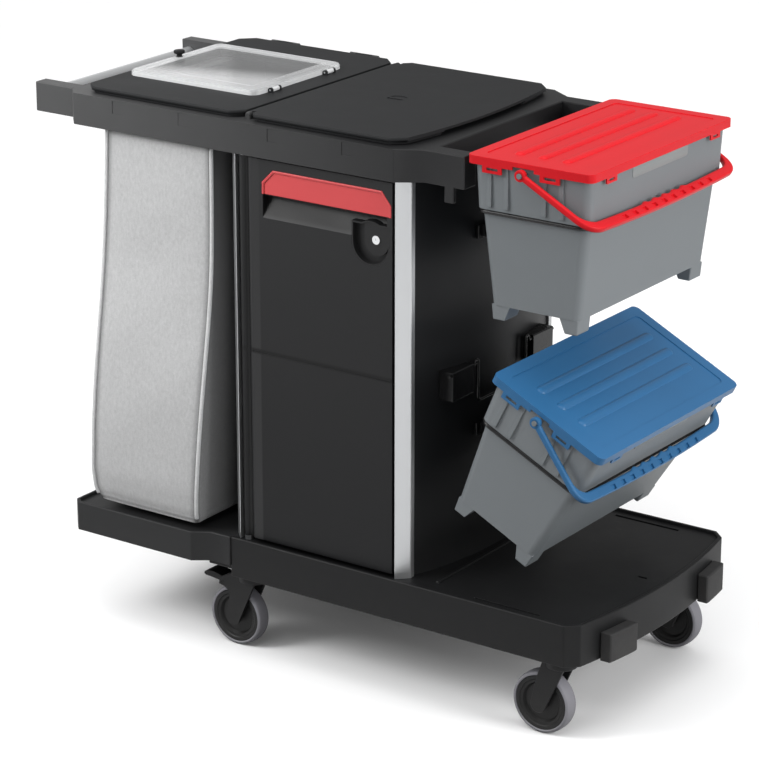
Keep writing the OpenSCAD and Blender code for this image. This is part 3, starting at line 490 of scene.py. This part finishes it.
# moulded edges: radius in metres for each node that gets a softened copy; a cut round the walls of a box, a
# little below its ledge, keeps the ledge's normals off the long corner strips
rolled = dict(
    steps=2, hardAngle=math.radians(32), flatAngle=math.radians(0.6), merge=1e-5, share=0.4, weight=60,
    ledgeCut=-0.006, ends=0.02, near=1e-6)
edgeRadius = {
    "base_platform": 0.0024, "bag_tray": 0.0024, "top_frame": 0.0022, "door_panel": 0.0005, "bag_lid": 0.0022,
    "tray_lid": 0.0022, "upper_box_lid": 0.0024, "lower_box_lid": 0.0024, "upper_box": 0.0025,
    "lower_box": 0.0025, "end_bumpers": 0.003, "hook_blocks": 0.002, "clear_flap": 0.0014,
    "door_insert": 0.0012, "upper_box_bracket": 0.0015, "lower_box_bracket": 0.0015,
    "front_right_post": 0.0016, "front_left_post": 0.0016,
    "back_right_post": 0.0016, "back_left_post": 0.0016,
    "fork_front_right": 0.0014, "fork_back_right": 0.0014,
    "fork_front_left": 0.0014, "fork_back_left": 0.0014,
    "pedal_front_left": 0.0012, "pedal_back_left": 0.0012,
}


# way across a flat face from one of its edges: the least distance, square to that edge, to the rest of its
# outline, at the outline's points and at two places near the edge's ends
def wayAcross(outline, number, normal):
    start = outline[number]
    along = outline[(number + 1) % len(outline)] - start
    length = max(np.linalg.norm(along), 1e-9)
    along = along / length
    u = (outline - start) @ along
    v = (outline - start) @ np.cross(normal, along)
    ways = [v[(u > rolled["near"]) & (u < length - rolled["near"])]]
    nextU, nextV = np.roll(u, -1), np.roll(v, -1)
    for at in (rolled["ends"] * length, (1 - rolled["ends"]) * length):
        crossed = (u - at) * (nextU - at) < 0
        rise = (nextV - v)[crossed] / (nextU - u)[crossed]
        ways.append(v[crossed] + (at - u[crossed]) * rise)
    ways = np.concatenate(ways)
    return ways[ways > rolled["near"]].min(initial=1.0)


# hard edges that meet two by two make one run, which ends where a third joins
def edgeRuns(hard):
    left = set(hard)
    while left:
        run, front = [], [left.pop()]
        while front:
            edge = front.pop()
            run.append(edge)
            for vert in edge.verts:
                joined = [other for other in vert.link_edges if other in hard]
                if len(joined) == 2:
                    front += [other for other in joined if other in left]
                    left -= set(joined)
        yield run


# roll weight of a run: a share of the least way across the faces beside it, over the radius, and one at most
def rollWeights(work, radius):
    layer = work.edges.layers.float.new("bevel_weight_edge")
    ways = {}
    for face in work.faces:
        outline = np.array([loop.vert.co for loop in face.loops])
        for number, loop in enumerate(face.loops):
            edge = loop.edge
            outer = len(edge.link_faces) == 2 and edge.is_convex
            if outer and edge.calc_face_angle(0.0) >= rolled["hardAngle"]:
                ways.setdefault(edge, []).append(wayAcross(outline, number, np.array(face.normal)))
    for run in edgeRuns(ways):
        weight = min(1.0, rolled["share"] * min(min(ways[edge]) for edge in run) / radius)
        for edge in run:
            edge[layer] = weight


def cutBelowLedge(work, level):
    point = boxPlacer(level)(np.array((0.0, 0.0, rolled["ledgeCut"])))
    upward = joints[level + "_box_lift"]["axis"]
    everything = work.verts[:] + work.edges[:] + work.faces[:]
    bmesh.ops.bisect_plane(work, geom=everything, plane_co=point, plane_no=upward)


# copy of a node with its triangles merged into flat faces and its hard outer edges rolled over
def softenEdges(name, radius):
    mesh = nodes[name].data.copy()
    work = bmesh.new()
    work.from_mesh(mesh)
    bmesh.ops.remove_doubles(work, verts=work.verts, dist=rolled["merge"])
    bmesh.ops.dissolve_limit(work, angle_limit=rolled["flatAngle"], verts=work.verts, edges=work.edges)
    for level in levels:
        if name == level + "_box":
            cutBelowLedge(work, level)
    rollWeights(work, radius)
    work.to_mesh(mesh)
    work.free()
    mesh.polygons.foreach_set("use_smooth", np.ones(len(mesh.polygons), bool))
    mesh.set_sharp_from_angle(angle=rolled["hardAngle"])
    copy = bpy.data.objects.new(name + "Soft", mesh)
    bpy.context.scene.collection.objects.link(copy)
    bevel = copy.modifiers.new("rolled", "BEVEL")
    bevel.width = radius
    bevel.segments = rolled["steps"]
    bevel.limit_method = "WEIGHT"
    bevel.use_clamp_overlap = False
    bevel.miter_outer = "MITER_ARC"
    normals = copy.modifiers.new("level", "WEIGHTED_NORMAL")
    normals.keep_sharp = True
    normals.weight = rolled["weight"]
    fitPiece(copy, name, nodeFinish[name], True)


for name, radius in edgeRadius.items():
    softenEdges(name, radius)
print("edges rolled on", len(edgeRadius), "nodes")


# a grid of points (rows, columns, 3) becomes quads; closed columns wrap round, and caps shut the first and
# last row
def gridFaces(points, wrap, caps, start):
    rows, columns = points.shape[:2]
    index = start + np.arange(rows * columns).reshape(rows, columns)
    nextColumn = np.roll(index, -1, axis=1) if wrap else index[:, 1:]
    here = index if wrap else index[:, :-1]
    faces = np.stack([here[:-1], nextColumn[:-1], nextColumn[1:], here[1:]], axis=-1).reshape(-1, 4).tolist()
    return faces + ([index[0, ::-1].tolist(), index[-1].tolist()] if caps else [])


def gridMesh(name, *grids, wrap=False, caps=False):
    starts = np.cumsum([0] + [grid.shape[0] * grid.shape[1] for grid in grids])
    faces = sum([gridFaces(grid, wrap, caps, int(start)) for grid, start in zip(grids, starts)], [])
    mesh = bpy.data.meshes.new(name)
    mesh.from_pydata(np.concatenate([grid.reshape(-1, 3) for grid in grids]).tolist(), [], faces)
    if wrap:
        work = bmesh.new()
        work.from_mesh(mesh)
        bmesh.ops.remove_doubles(work, verts=work.verts, dist=1e-6)
        bmesh.ops.recalc_face_normals(work, faces=work.faces)
        work.to_mesh(mesh)
        work.free()
    mesh.polygons.foreach_set("use_smooth", np.ones(len(mesh.polygons), bool))
    obj = bpy.data.objects.new(name, mesh)
    bpy.context.scene.collection.objects.link(obj)
    return obj


# open rims that start below a height are filled, and then every face is turned outward
def closeRims(obj, below=math.inf):
    work = bmesh.new()
    work.from_mesh(obj.data)
    rims = [edge for edge in work.edges if edge.is_boundary and edge.verts[0].co.z < below]
    bmesh.ops.holes_fill(work, edges=rims, sides=0)
    bmesh.ops.recalc_face_normals(work, faces=work.faces)
    work.to_mesh(obj.data)
    work.free()


# unit rounded rectangle, front run first: straight runs and quarter arcs, as shares of the side (xs, ys) and
# of the corner radius (cx, cy)
def roundedColumns(longCount, shortCount, bendCount):
    columns = []
    quarter = np.linspace(0, np.pi / 2, bendCount + 2)[1:-1]
    sides = [(0, -1, longCount), (1, 0, shortCount), (0, 1, longCount), (-1, 0, shortCount)]
    for number, (sx, sy, count) in enumerate(sides):
        run = np.linspace(-1, 1, count)
        ones = np.ones(count)
        columns.append([sx * ones - sy * run, sy * ones + sx * run, sx * ones, sy * ones])
        angle = (number - 1) * np.pi / 2 + quarter
        ones = np.ones(bendCount)
        columns.append([np.sign(sx - sy) * ones, np.sign(sx + sy) * ones, np.cos(angle), np.sin(angle)])
    return [np.concatenate(parts) for parts in zip(*columns)]


# ring of rounded section: a rounded rectangle carried once round the third axis
def ringGrid(bore, outside, tall, roll, counts, points):
    xs, ys, cx, cy = roundedColumns(*counts)
    radius = (outside + bore) / 2 + xs * ((outside - bore) / 2 - roll) + roll * cx
    height = ys * (tall / 2 - roll) + roll * cy
    turn = np.linspace(0, 2 * np.pi, points)[:, None]
    return np.stack([radius * np.cos(turn), radius * np.sin(turn), height + 0 * turn], axis=-1)


# a round cord along a path: at each point a circle stands in the plane across the path
def cordMesh(name, path, radius, sides):
    along = np.gradient(path, axis=0)
    along /= np.linalg.norm(along, axis=1, keepdims=True)
    first = np.cross(along, (0.0, 1.0, 0.0))
    first /= np.linalg.norm(first, axis=1, keepdims=True)
    second = np.cross(along, first)
    turn = np.linspace(0, 2 * np.pi, sides, endpoint=False)[None, :, None]
    ring = path[:, None] + radius * (np.cos(turn) * first[:, None] + np.sin(turn) * second[:, None])
    return gridMesh(name, ring, wrap=True, caps=True)


# bag: left side, right side and half depth follow the height, and each row is a rounded rectangle;
# slackWaves holds a share, and the radians per metre up, per half width and per half depth
bagShape = dict(
    heights=(0.2525, 0.2542, 0.2612, 0.2750, 0.304, 0.380, 0.480, 0.600, 0.700, 0.780, 0.880, 0.970, 1.0285),
    left=(-0.470, -0.486, -0.498, -0.504, -0.508, -0.508, -0.505, -0.500, -0.496, -0.493, -0.488, -0.484,
          -0.482),
    right=(-0.278, -0.262, -0.250, -0.246, -0.243, -0.238, -0.232, -0.226, -0.2225, -0.221, -0.2205, -0.2205,
           -0.221),
    depth=(0.262, 0.281, 0.292, 0.298, 0.302, 0.302, 0.297, 0.286, 0.275, 0.268, 0.2645, 0.263, 0.262),
    corner=0.009, perSide=30, perBend=5, lowRows=18, lowKnot=4, rows=120,
    floorRings=12, floorStart=0.05, floorDrop=0.0004,
    crown=0.008, crownFade=0.6, slack=0.0012, hollow=0.004, thickness=0.0025,
    slackWaves=((1.0, 17.0, 1.7, 2.3), (0.6, 31.0, -2.9, 1.0)))
# painted shade on the bag: seamShade darkens the seam valleys, sideShade the panel in the gap by the cabinet
bagPaintedShade = dict(
    seamInset=0.3, seamWidth=0.0095, seamShade=0.8, sideShade=(0.42, 0.97), sideReach=0.14, sideStart=0.012,
    sideSoft=0.006)
bagKnots = np.array(bagShape["heights"])


# one measure of the bag at any height: cubic steps between the measured heights, so the sides swell without
# kinks
def bagRow(side, at):
    values = np.array(bagShape[side])
    slope = np.gradient(values, bagKnots)
    index = np.clip(np.searchsorted(bagKnots, at) - 1, 0, len(bagKnots) - 2)
    span = bagKnots[index + 1] - bagKnots[index]
    u = (at - bagKnots[index]) / span
    h00, h10 = 2 * u**3 - 3 * u**2 + 1, u**3 - 2 * u**2 + u
    h01, h11 = -2 * u**3 + 3 * u**2, u**3 - u**2
    below = h00 * values[index] + h10 * span * slope[index]
    return below + h01 * values[index + 1] + h11 * span * slope[index + 1]


# painted shade on the cloth: a painted shadow in a bell curve of the distance from the nearest corner, and
# over the panel that faces the cabinet a painted shade that grows upward and backward, where the gap lies in
# shade
def paintShadeOnBag(bag):
    look = bagPaintedShade
    points = np.zeros(len(bag.data.vertices) * 3)
    bag.data.vertices.foreach_get("co", points)
    x, y, z = points.reshape(-1, 3).T
    at = np.clip(z, bagKnots[0], bagKnots[-1])
    left, right, depth = [bagRow(side, at) for side in ("left", "right", "depth")]
    inset = look["seamInset"] * bagShape["corner"]
    beside = np.minimum(np.abs(x - left - inset), np.abs(right - inset - x))
    away = np.hypot(beside, depth - inset - np.abs(y))
    seam = look["seamShade"] * np.exp(-(away / look["seamWidth"]) ** 2)
    height = (at - bagKnots[0]) / (bagKnots[-1] - bagKnots[0])
    behind = np.clip((y + depth) / look["sideReach"], 0, 1)
    low, high = look["sideShade"]
    onSide = np.clip((x - right + look["sideStart"]) / look["sideSoft"], 0, 1)
    onSide = onSide * (low + (high - low) * (1 - (1 - height) * (1 - behind)))
    paintedShade = bag.data.attributes.new("paintedShade", "FLOAT", "POINT")
    paintedShade.data.foreach_set("value", np.maximum(seam, onSide))


# walls of the bag: each panel swells by one less the fourth power of the way from its middle to its seam
def bagWall():
    shape = bagShape
    fold = bagKnots[shape["lowKnot"]]
    lowRows = np.linspace(bagKnots[0], fold, shape["lowRows"], endpoint=False)
    rows = np.concatenate([lowRows, np.linspace(fold, bagKnots[-1], shape["rows"])])
    left, right, depth = [bagRow(side, rows)[:, None] for side in ("left", "right", "depth")]
    xs, ys, cx, cy = roundedColumns(shape["perSide"], shape["perSide"], shape["perBend"])
    radius = shape["corner"]
    x = (left + right) / 2 + xs * ((right - left) / 2 - radius) + radius * cx
    y = ys * (depth - radius) + radius * cy
    z = rows[:, None]
    height = np.clip((z - z[0]) / (z[-1] - z[0]), 0, 1)
    fade = np.sin(np.pi * height) ** shape["crownFade"]
    inFront = (1 - np.abs(xs) ** 4) * (np.abs(cy) == 1)
    inSide = (1 - np.abs(ys) ** 4) * (np.abs(cx) == 1)
    # slack cloth: long shallow waves over the crown
    waves = shape["slackWaves"]
    wave = sum(share * np.sin(z * up + xs * wide + ys * deep) for share, up, wide, deep in waves)
    y = y + cy * inFront * fade * (shape["crown"] + shape["slack"] * wave)
    x = x + cx * inSide * fade * (shape["slack"] * wave - shape["hollow"])
    return np.stack([x, y, np.broadcast_to(z, x.shape)], axis=-1)


# floor of the bag: the lowest ring of the walls, a little lower, shrinks to its middle
def makeBag(wall):
    rim = wall[0] - (0, 0, bagShape["floorDrop"])
    middle = rim.mean(axis=0)
    shrink = np.linspace(bagShape["floorStart"], 1, bagShape["floorRings"], endpoint=False)[:, None, None]
    bag = gridMesh("bagShell", np.concatenate([middle + (rim - middle) * shrink, wall]), wrap=True)
    closeRims(bag, bagKnots[1])
    paintShadeOnBag(bag)
    solid = bag.modifiers.new("cloth", "SOLIDIFY")
    solid.thickness = bagShape["thickness"]
    solid.offset = -1.0
    fitPiece(bag, "bag", "heatherCloth", True)


wall = bagWall()
makeBag(wall)
print("bag lofted:", wall.shape)

# piping: a thin cord down the middle of each rounded corner, about a quarter of its thickness in the cloth
piping = dict(radius=0.0040, lift=0.0022, sides=10, firstRow=6)


def makePiping():
    step = bagShape["perSide"] + bagShape["perBend"]
    rows = wall[piping["firstRow"]:]
    centre = rows.mean(axis=1)
    for number in range(4):
        edge = rows[:, step * number + bagShape["perSide"] + bagShape["perBend"] // 2]
        outward = edge - centre
        outward[:, 2] = 0
        outward /= np.linalg.norm(outward, axis=1, keepdims=True)
        path = edge + outward * piping["lift"]
        cord = cordMesh("bagPiping%d" % (number + 1), path, piping["radius"], piping["sides"])
        fitPiece(cord, "bag", "pipingCloth", False)


makePiping()
print("piping sewn on")

# bail: arms from two eyes, quarter bends and a bowed grip bar with a wavy inner edge and a row of notches
bailShape = dict(
    lidGap=0.0023, armThick=0.0097, armTall=0.0130, armStart=0.0085, reach=0.036, dropTo=0.07934,
    bend=0.03715, bendFrom=0.042, bendPoints=16, armPoints=16, barPoints=170,
    barIn=0.00815, barOut=0.0125, bow=0.005, barTall=0.0125, roll=0.0042, section=(14, 5, 4),
    wave=0.0054, pitch=0.034, waves=5, waveSharp=1.5, waveLow=0.2,
    notchLong=0.012, notchWide=0.0042, notchDeep=0.004, notchCount=10, notchOut=0.0044, notchEdge=0.0003,
    eye=0.011, pin=0.0053, eyeRoll=0.0012, eyeSection=(4, 4, 3), eyePoints=41, hardAngle=50)
bailArm = lidHalf[0] + bailShape["reach"]
bailSide = lidHalf[1] + bailShape["lidGap"] + bailShape["armThick"] / 2
notchPlaces = (np.arange(bailShape["notchCount"]) - (bailShape["notchCount"] - 1) / 2) * bailShape["pitch"]


# path in the bail's own plane: out from the pivot, round the corner, along the bar and back; at each point,
# its reach and place across, and the two parts of the outward direction
def bailPath():
    shape = bailShape
    start = bailArm - shape["bendFrom"]
    halfBar = bailSide - shape["bend"]
    ends = notchPlaces[:, None] + np.array([-1, 1]) * shape["notchLong"] / 2
    ends = ends[:, :, None] + np.array([-1, 1]) * shape["notchEdge"]
    bar = np.unique(np.concatenate([np.linspace(-halfBar, halfBar, shape["barPoints"]), ends.ravel()]))
    bowed = shape["bow"] * (1 - (bar / halfBar) ** 2)
    quarter = np.linspace(0, np.pi / 2, shape["bendPoints"])[1:-1]
    arm = np.linspace(shape["armStart"], start, shape["armPoints"])
    reach = np.concatenate([arm, start + shape["bend"] * np.sin(quarter), start + shape["bend"] + bowed])
    across = np.concatenate([np.full_like(arm, -bailSide), -halfBar - shape["bend"] * np.cos(quarter), bar])
    outReach = np.concatenate([np.zeros_like(arm), np.sin(quarter), np.ones_like(bar)])
    outAcross = np.concatenate([-np.ones_like(arm), -np.cos(quarter), np.zeros_like(bar)])
    turned = len(arm) + len(quarter)
    reach, outReach = [np.concatenate([a, a[:turned][::-1]]) for a in (reach, outReach)]
    across, outAcross = [np.concatenate([a, -a[:turned][::-1]]) for a in (across, outAcross)]
    return [values[:, None] for values in (reach, across, outReach, outAcross)]


# sweep of a rounded rectangle along the path; its sides grow from arm to bar by a smooth step
def bailGrid():
    shape = bailShape
    reach, across, outReach, outAcross = bailPath()
    onBar = outReach > 0.999
    grown = outReach * outReach * (3 - 2 * outReach)
    halfArm = shape["armThick"] / 2
    inner = halfArm + (shape["barIn"] - halfArm) * grown
    outer = halfArm + (shape["barOut"] - halfArm) * grown
    tall = (shape["armTall"] + (shape["barTall"] - shape["armTall"]) * grown) / 2
    xs, ys, cx, cy = roundedColumns(*shape["section"])
    roll = shape["roll"]
    out = (outer - inner) / 2 + xs * ((outer + inner) / 2 - roll) + roll * cx
    up = ys * (tall - roll) + roll * cy
    # humps stand on the upper half of the inner edge, notches sink into the top
    hump = (0.5 + 0.5 * np.cos(2 * np.pi * across / shape["pitch"])) ** shape["waveSharp"]
    hump = hump * (np.abs(across) < shape["waves"] * shape["pitch"] / 2) * onBar
    inward = np.clip(-out / shape["barIn"], 0, 1)
    out = out - shape["wave"] * hump * inward * np.clip(up / tall + shape["waveLow"], 0, 1)
    nearNotch = np.min(np.abs(across - notchPlaces), axis=1, keepdims=True) < shape["notchLong"] / 2
    sunk = nearNotch & onBar & (np.abs(out - shape["notchOut"]) < shape["notchWide"]) & (cy == 1)
    up = up - shape["notchDeep"] * sunk
    return np.stack([reach + out * outReach, across + out * outAcross, up], axis=-1)


# eye: a ring of rounded section about the pivot, at one side
def eyeGrid(side):
    sizes = [bailShape[key] for key in ("pin", "eye", "armThick", "eyeRoll")]
    ring = ringGrid(*sizes, bailShape["eyeSection"], bailShape["eyePoints"])
    return ring[:, :, [0, 2, 1]] + (0, side, 0)


def makeBail(level):
    fall = tiltMatrix(math.asin(bailShape["dropTo"] / bailArm))
    place = boxPlacer(level)
    grids = [bailGrid(), eyeGrid(-bailSide), eyeGrid(bailSide)]
    bail = gridMesh(level + "Bail", *[place(bailPivot + grid @ fall.T) for grid in grids], wrap=True)
    closeRims(bail)
    bail.data.set_sharp_from_angle(angle=math.radians(bailShape["hardAngle"]))
    fitPiece(bail, level + "_handle", nodeFinish[level + "_handle"], True)


# bare plate on the outer wall of each box: a rounded rectangle a little proud of the sloping wall; rings
# holds the way in from the outline and the height off the wall
plateShape = dict(
    half=(0.100, 0.0135), centre=0.0735, corner=0.006, section=(10, 4, 5), wallAtLedge=0.120,
    wallLean=0.0045 / 0.0972, rings=((0.0, -0.0006), (0.0, 0.00072), (0.0008, 0.0012)), hardAngle=35)


def makePlate(level):
    shape = plateShape
    xs, ys, cx, cy = roundedColumns(*shape["section"])
    inset, proud = np.array(shape["rings"]).T[:, :, None]
    corner = shape["corner"]
    across = xs * (shape["half"][0] - corner) + (corner - inset) * cx
    up = shape["centre"] + ys * (shape["half"][1] - corner) + (corner - inset) * cy
    out = shape["wallAtLedge"] + shape["wallLean"] * up + proud
    points = boxPlacer(level)(np.stack([out, across, up], axis=-1))
    plate = gridMesh(level + "BoxPlate", points, wrap=True, caps=True)
    plate.data.set_sharp_from_angle(angle=math.radians(shape["hardAngle"]))
    fitPiece(plate, level + "_box", "plateGrey", False)


# ribs on each box lid: rounded crests over the three raised strips of the panel
ribShape = dict(
    places=(-0.056, -0.006, 0.044), halfLong=0.2048, halfWide=0.0108, straight=0.0003, tip=0.0006,
    base=0.0991, crest=0.1042, arch=0.8, rings=9, section=(24, 2, 8), hardAngle=60)


# the radius shrinks toward the crest, and the height follows a rounded arch of it
def makeRibs(level):
    shape = ribShape
    xs, ys, cx, cy = roundedColumns(*shape["section"])
    corner = shape["halfWide"] - shape["straight"]
    radius = np.linspace(corner, shape["tip"], shape["rings"])[:, None]
    arch = (1 - (radius / corner) ** 2) ** shape["arch"]
    across = xs * (shape["halfLong"] - corner) + radius * cx
    out = ys * shape["straight"] + radius * cy
    up = shape["base"] + (shape["crest"] - shape["base"]) * arch + 0 * across
    for number, place in enumerate(shape["places"]):
        points = boxPlacer(level)(np.stack([place + out, -across, up], axis=-1))
        rib = gridMesh("%sLidRib%d" % (level, number + 1), points, wrap=True, caps=True)
        rib.data.set_sharp_from_angle(angle=math.radians(shape["hardAngle"]))
        fitPiece(rib, level + "_box_lid", nodeFinish[level + "_box_lid"], False)


for level in levels:
    makeBail(level)
    makePlate(level)
    makeRibs(level)
print("bails, plates and lid ribs made")

# swivel crown: a ring of rounded section about the stem, over the top of each fork
crownShape = dict(radius=0.031, bore=0.020, low=0.0285, high=0.0012, roll=0.004, section=(4, 6, 5), points=65)


def makeCrown(fork):
    shape = crownShape
    swivel = [joint for joint in joints.values() if joint["child"] == bodyOf[fork]][0]["pos_m"]
    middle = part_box(fork)[1][2] - (shape["low"] + shape["high"]) / 2
    tall = shape["low"] - shape["high"]
    ring = ringGrid(shape["bore"], shape["radius"], tall, shape["roll"], shape["section"], shape["points"])
    crown = gridMesh(fork.replace("fork_", "crown_"), ring + (swivel[0], swivel[1], middle), wrap=True)
    fitPiece(crown, fork, nodeFinish[fork], False)


for fork in [name for name in nodes if name.startswith("fork_")]:
    makeCrown(fork)
print("swivel crowns made")

# knob of the flap: a lathe turned profile of radius and height, stem first and cap last
knobShape = dict(points=40, hardAngle=50, profile=(
    (0.0, -0.0005), (0.0068, -0.0005), (0.0068, 0.0006), (0.0056, 0.0016), (0.0054, 0.0036), (0.0066, 0.0050),
    (0.0104, 0.0064), (0.0113, 0.0076), (0.0115, 0.0104), (0.0110, 0.0120), (0.0094, 0.0130), (0.0, 0.0133)))


def makeKnob():
    low, high = [np.array(corner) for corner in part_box("flap_knob")]
    radius, height = np.array(knobShape["profile"]).T[:, :, None]
    turn = np.linspace(0, 2 * np.pi, knobShape["points"], endpoint=False)
    x = (low[0] + high[0]) / 2 + radius * np.cos(turn)
    y = (low[1] + high[1]) / 2 + radius * np.sin(turn)
    z = low[2] + height + 0 * turn
    knob = gridMesh("flapKnob", np.stack([x, y, z], axis=-1), wrap=True)
    knob.data.set_sharp_from_angle(angle=math.radians(knobShape["hardAngle"]))
    fitPiece(knob, "flap_knob", nodeFinish["flap_knob"], True)


makeKnob()
print("flap knob turned")

# studio: pale floor, white surround and broad soft lights; floorGlow holds the near and far distance and the
# strength, worldFade the low and high direction and the strength at each
studio = dict(
    floorSize=40.0, floorColour=(0.95, 0.95, 0.955), floorCloud=(0.95, 0.95, 0.95), floorRough=0.6,
    floorGlow=(0.9, 2.6, 0.12), worldColour=(1, 1, 1), worldFade=(-0.15, 0.3, 0.03, 0.44))
overhead = dict(aim=(0.03, 0.2, -1.0), strength=1.75, spread=70)
softLights = {
    "keyLight": dict(place=(-1.6, -2.0, 2.2), aim=(-0.4, 0, 0.78), size=1.5, power=15.2, spread=84),
    "fillLight": dict(place=(3.5, 0.1, 1.7), aim=(0.5, 0, 0.8), size=1.8, power=78, spread=180),
    "edgeLight": dict(place=(2.3, -2.6, 1.3), aim=(0.45, 0, 0.6), size=1.2, power=17, spread=180),
    "backGlow": dict(place=(-3.37, 2.62, 2.06), aim=(-0.35, 0, 1.1), size=1.56, power=5, spread=180),
}
camera = dict(place=(3.3056, -4.7474, 2.5185), aim=(-0.0120, 0.0, 0.5254), lens=145.6, sensor=36.0, reach=200)


def makeFloor():
    side = np.linspace(-studio["floorSize"], studio["floorSize"], 2)
    xs, ys = np.meshgrid(side, side)
    floor = gridMesh("studioFloor", np.stack([xs, ys, np.zeros_like(xs)], axis=-1))
    material, tree, shader, coords = startMaterial("paleFloor")
    cloud = noiseNode(tree, coords, 0.8, 2.0)
    cloudsAndPaintedLight = mixColour(tree, cloud, studio["floorColour"], studio["floorCloud"])
    tree.links.new(cloudsAndPaintedLight, shader.inputs["Base Color"])
    shader.inputs["Roughness"].default_value = studio["floorRough"]
    # glow: none near the cart, so the shadow stays deep, and more toward the far floor
    away = addNode(tree, "ShaderNodeVectorMath", operation="LENGTH")
    tree.links.new(coords, away.inputs[0])
    near, far, glow = studio["floorGlow"]
    share = rampNode(tree, away.outputs["Value"], near, 1.0 / (far - near))
    glowing = mixColour(tree, share, (0.0, 0.0, 0.0), (glow, glow, glow))
    tree.links.new(glowing, shader.inputs["Emission Color"])
    shader.inputs["Emission Strength"].default_value = 1.0
    floor.data.materials.append(material)
    floor.visible_diffuse = False


# room light: full strength overhead, fading to almost nothing below the horizon
def makeRoom():
    world = bpy.data.worlds.new("paleRoom")
    world.use_nodes = True
    tree = world.node_tree
    background = tree.nodes["Background"]
    background.inputs["Color"].default_value = (*studio["worldColour"], 1)
    direction = splitCoords(tree, addNode(tree, "ShaderNodeTexCoord").outputs["Generated"])
    fade = addNode(tree, "ShaderNodeMapRange")
    tree.links.new(direction["Z"], fade.inputs["Value"])
    for label, value in zip(("From Min", "From Max", "To Min", "To Max"), studio["worldFade"]):
        fade.inputs[label].default_value = value
    tree.links.new(fade.outputs[0], background.inputs["Strength"])
    bpy.context.scene.world = world


# a light or camera at a place, looking along a direction
def placeObject(name, data, place, direction):
    obj = bpy.data.objects.new(name, data)
    obj.location = place
    obj.rotation_euler = direction.to_track_quat("-Z", "Y").to_euler()
    bpy.context.scene.collection.objects.link(obj)
    return obj


def makeOverhead():
    data = bpy.data.lights.new("overheadSoft", "SUN")
    data.energy = overhead["strength"]
    data.angle = math.radians(overhead["spread"])
    placeObject("overheadSoft", data, (0, 0, 0), Vector(overhead["aim"]))


def makeSoftLight(name, look):
    data = bpy.data.lights.new(name, "AREA")
    data.shape = "DISK"
    data.size = look["size"]
    data.energy = look["power"]
    data.spread = math.radians(look["spread"])
    placeObject(name, data, look["place"], Vector(look["aim"]) - Vector(look["place"]))


def makeCamera():
    data = bpy.data.cameras.new("photoCamera")
    data.lens = camera["lens"]
    data.sensor_width = camera["sensor"]
    data.clip_end = camera["reach"]
    direction = Vector(camera["aim"]) - Vector(camera["place"])
    bpy.context.scene.camera = placeObject("photoCamera", data, camera["place"], direction)


makeFloor()
makeRoom()
makeOverhead()
for name, look in softLights.items():
    makeSoftLight(name, look)
bpy.context.scene.view_settings.view_transform = "Standard"
makeCamera()
print("studio and camera ready")
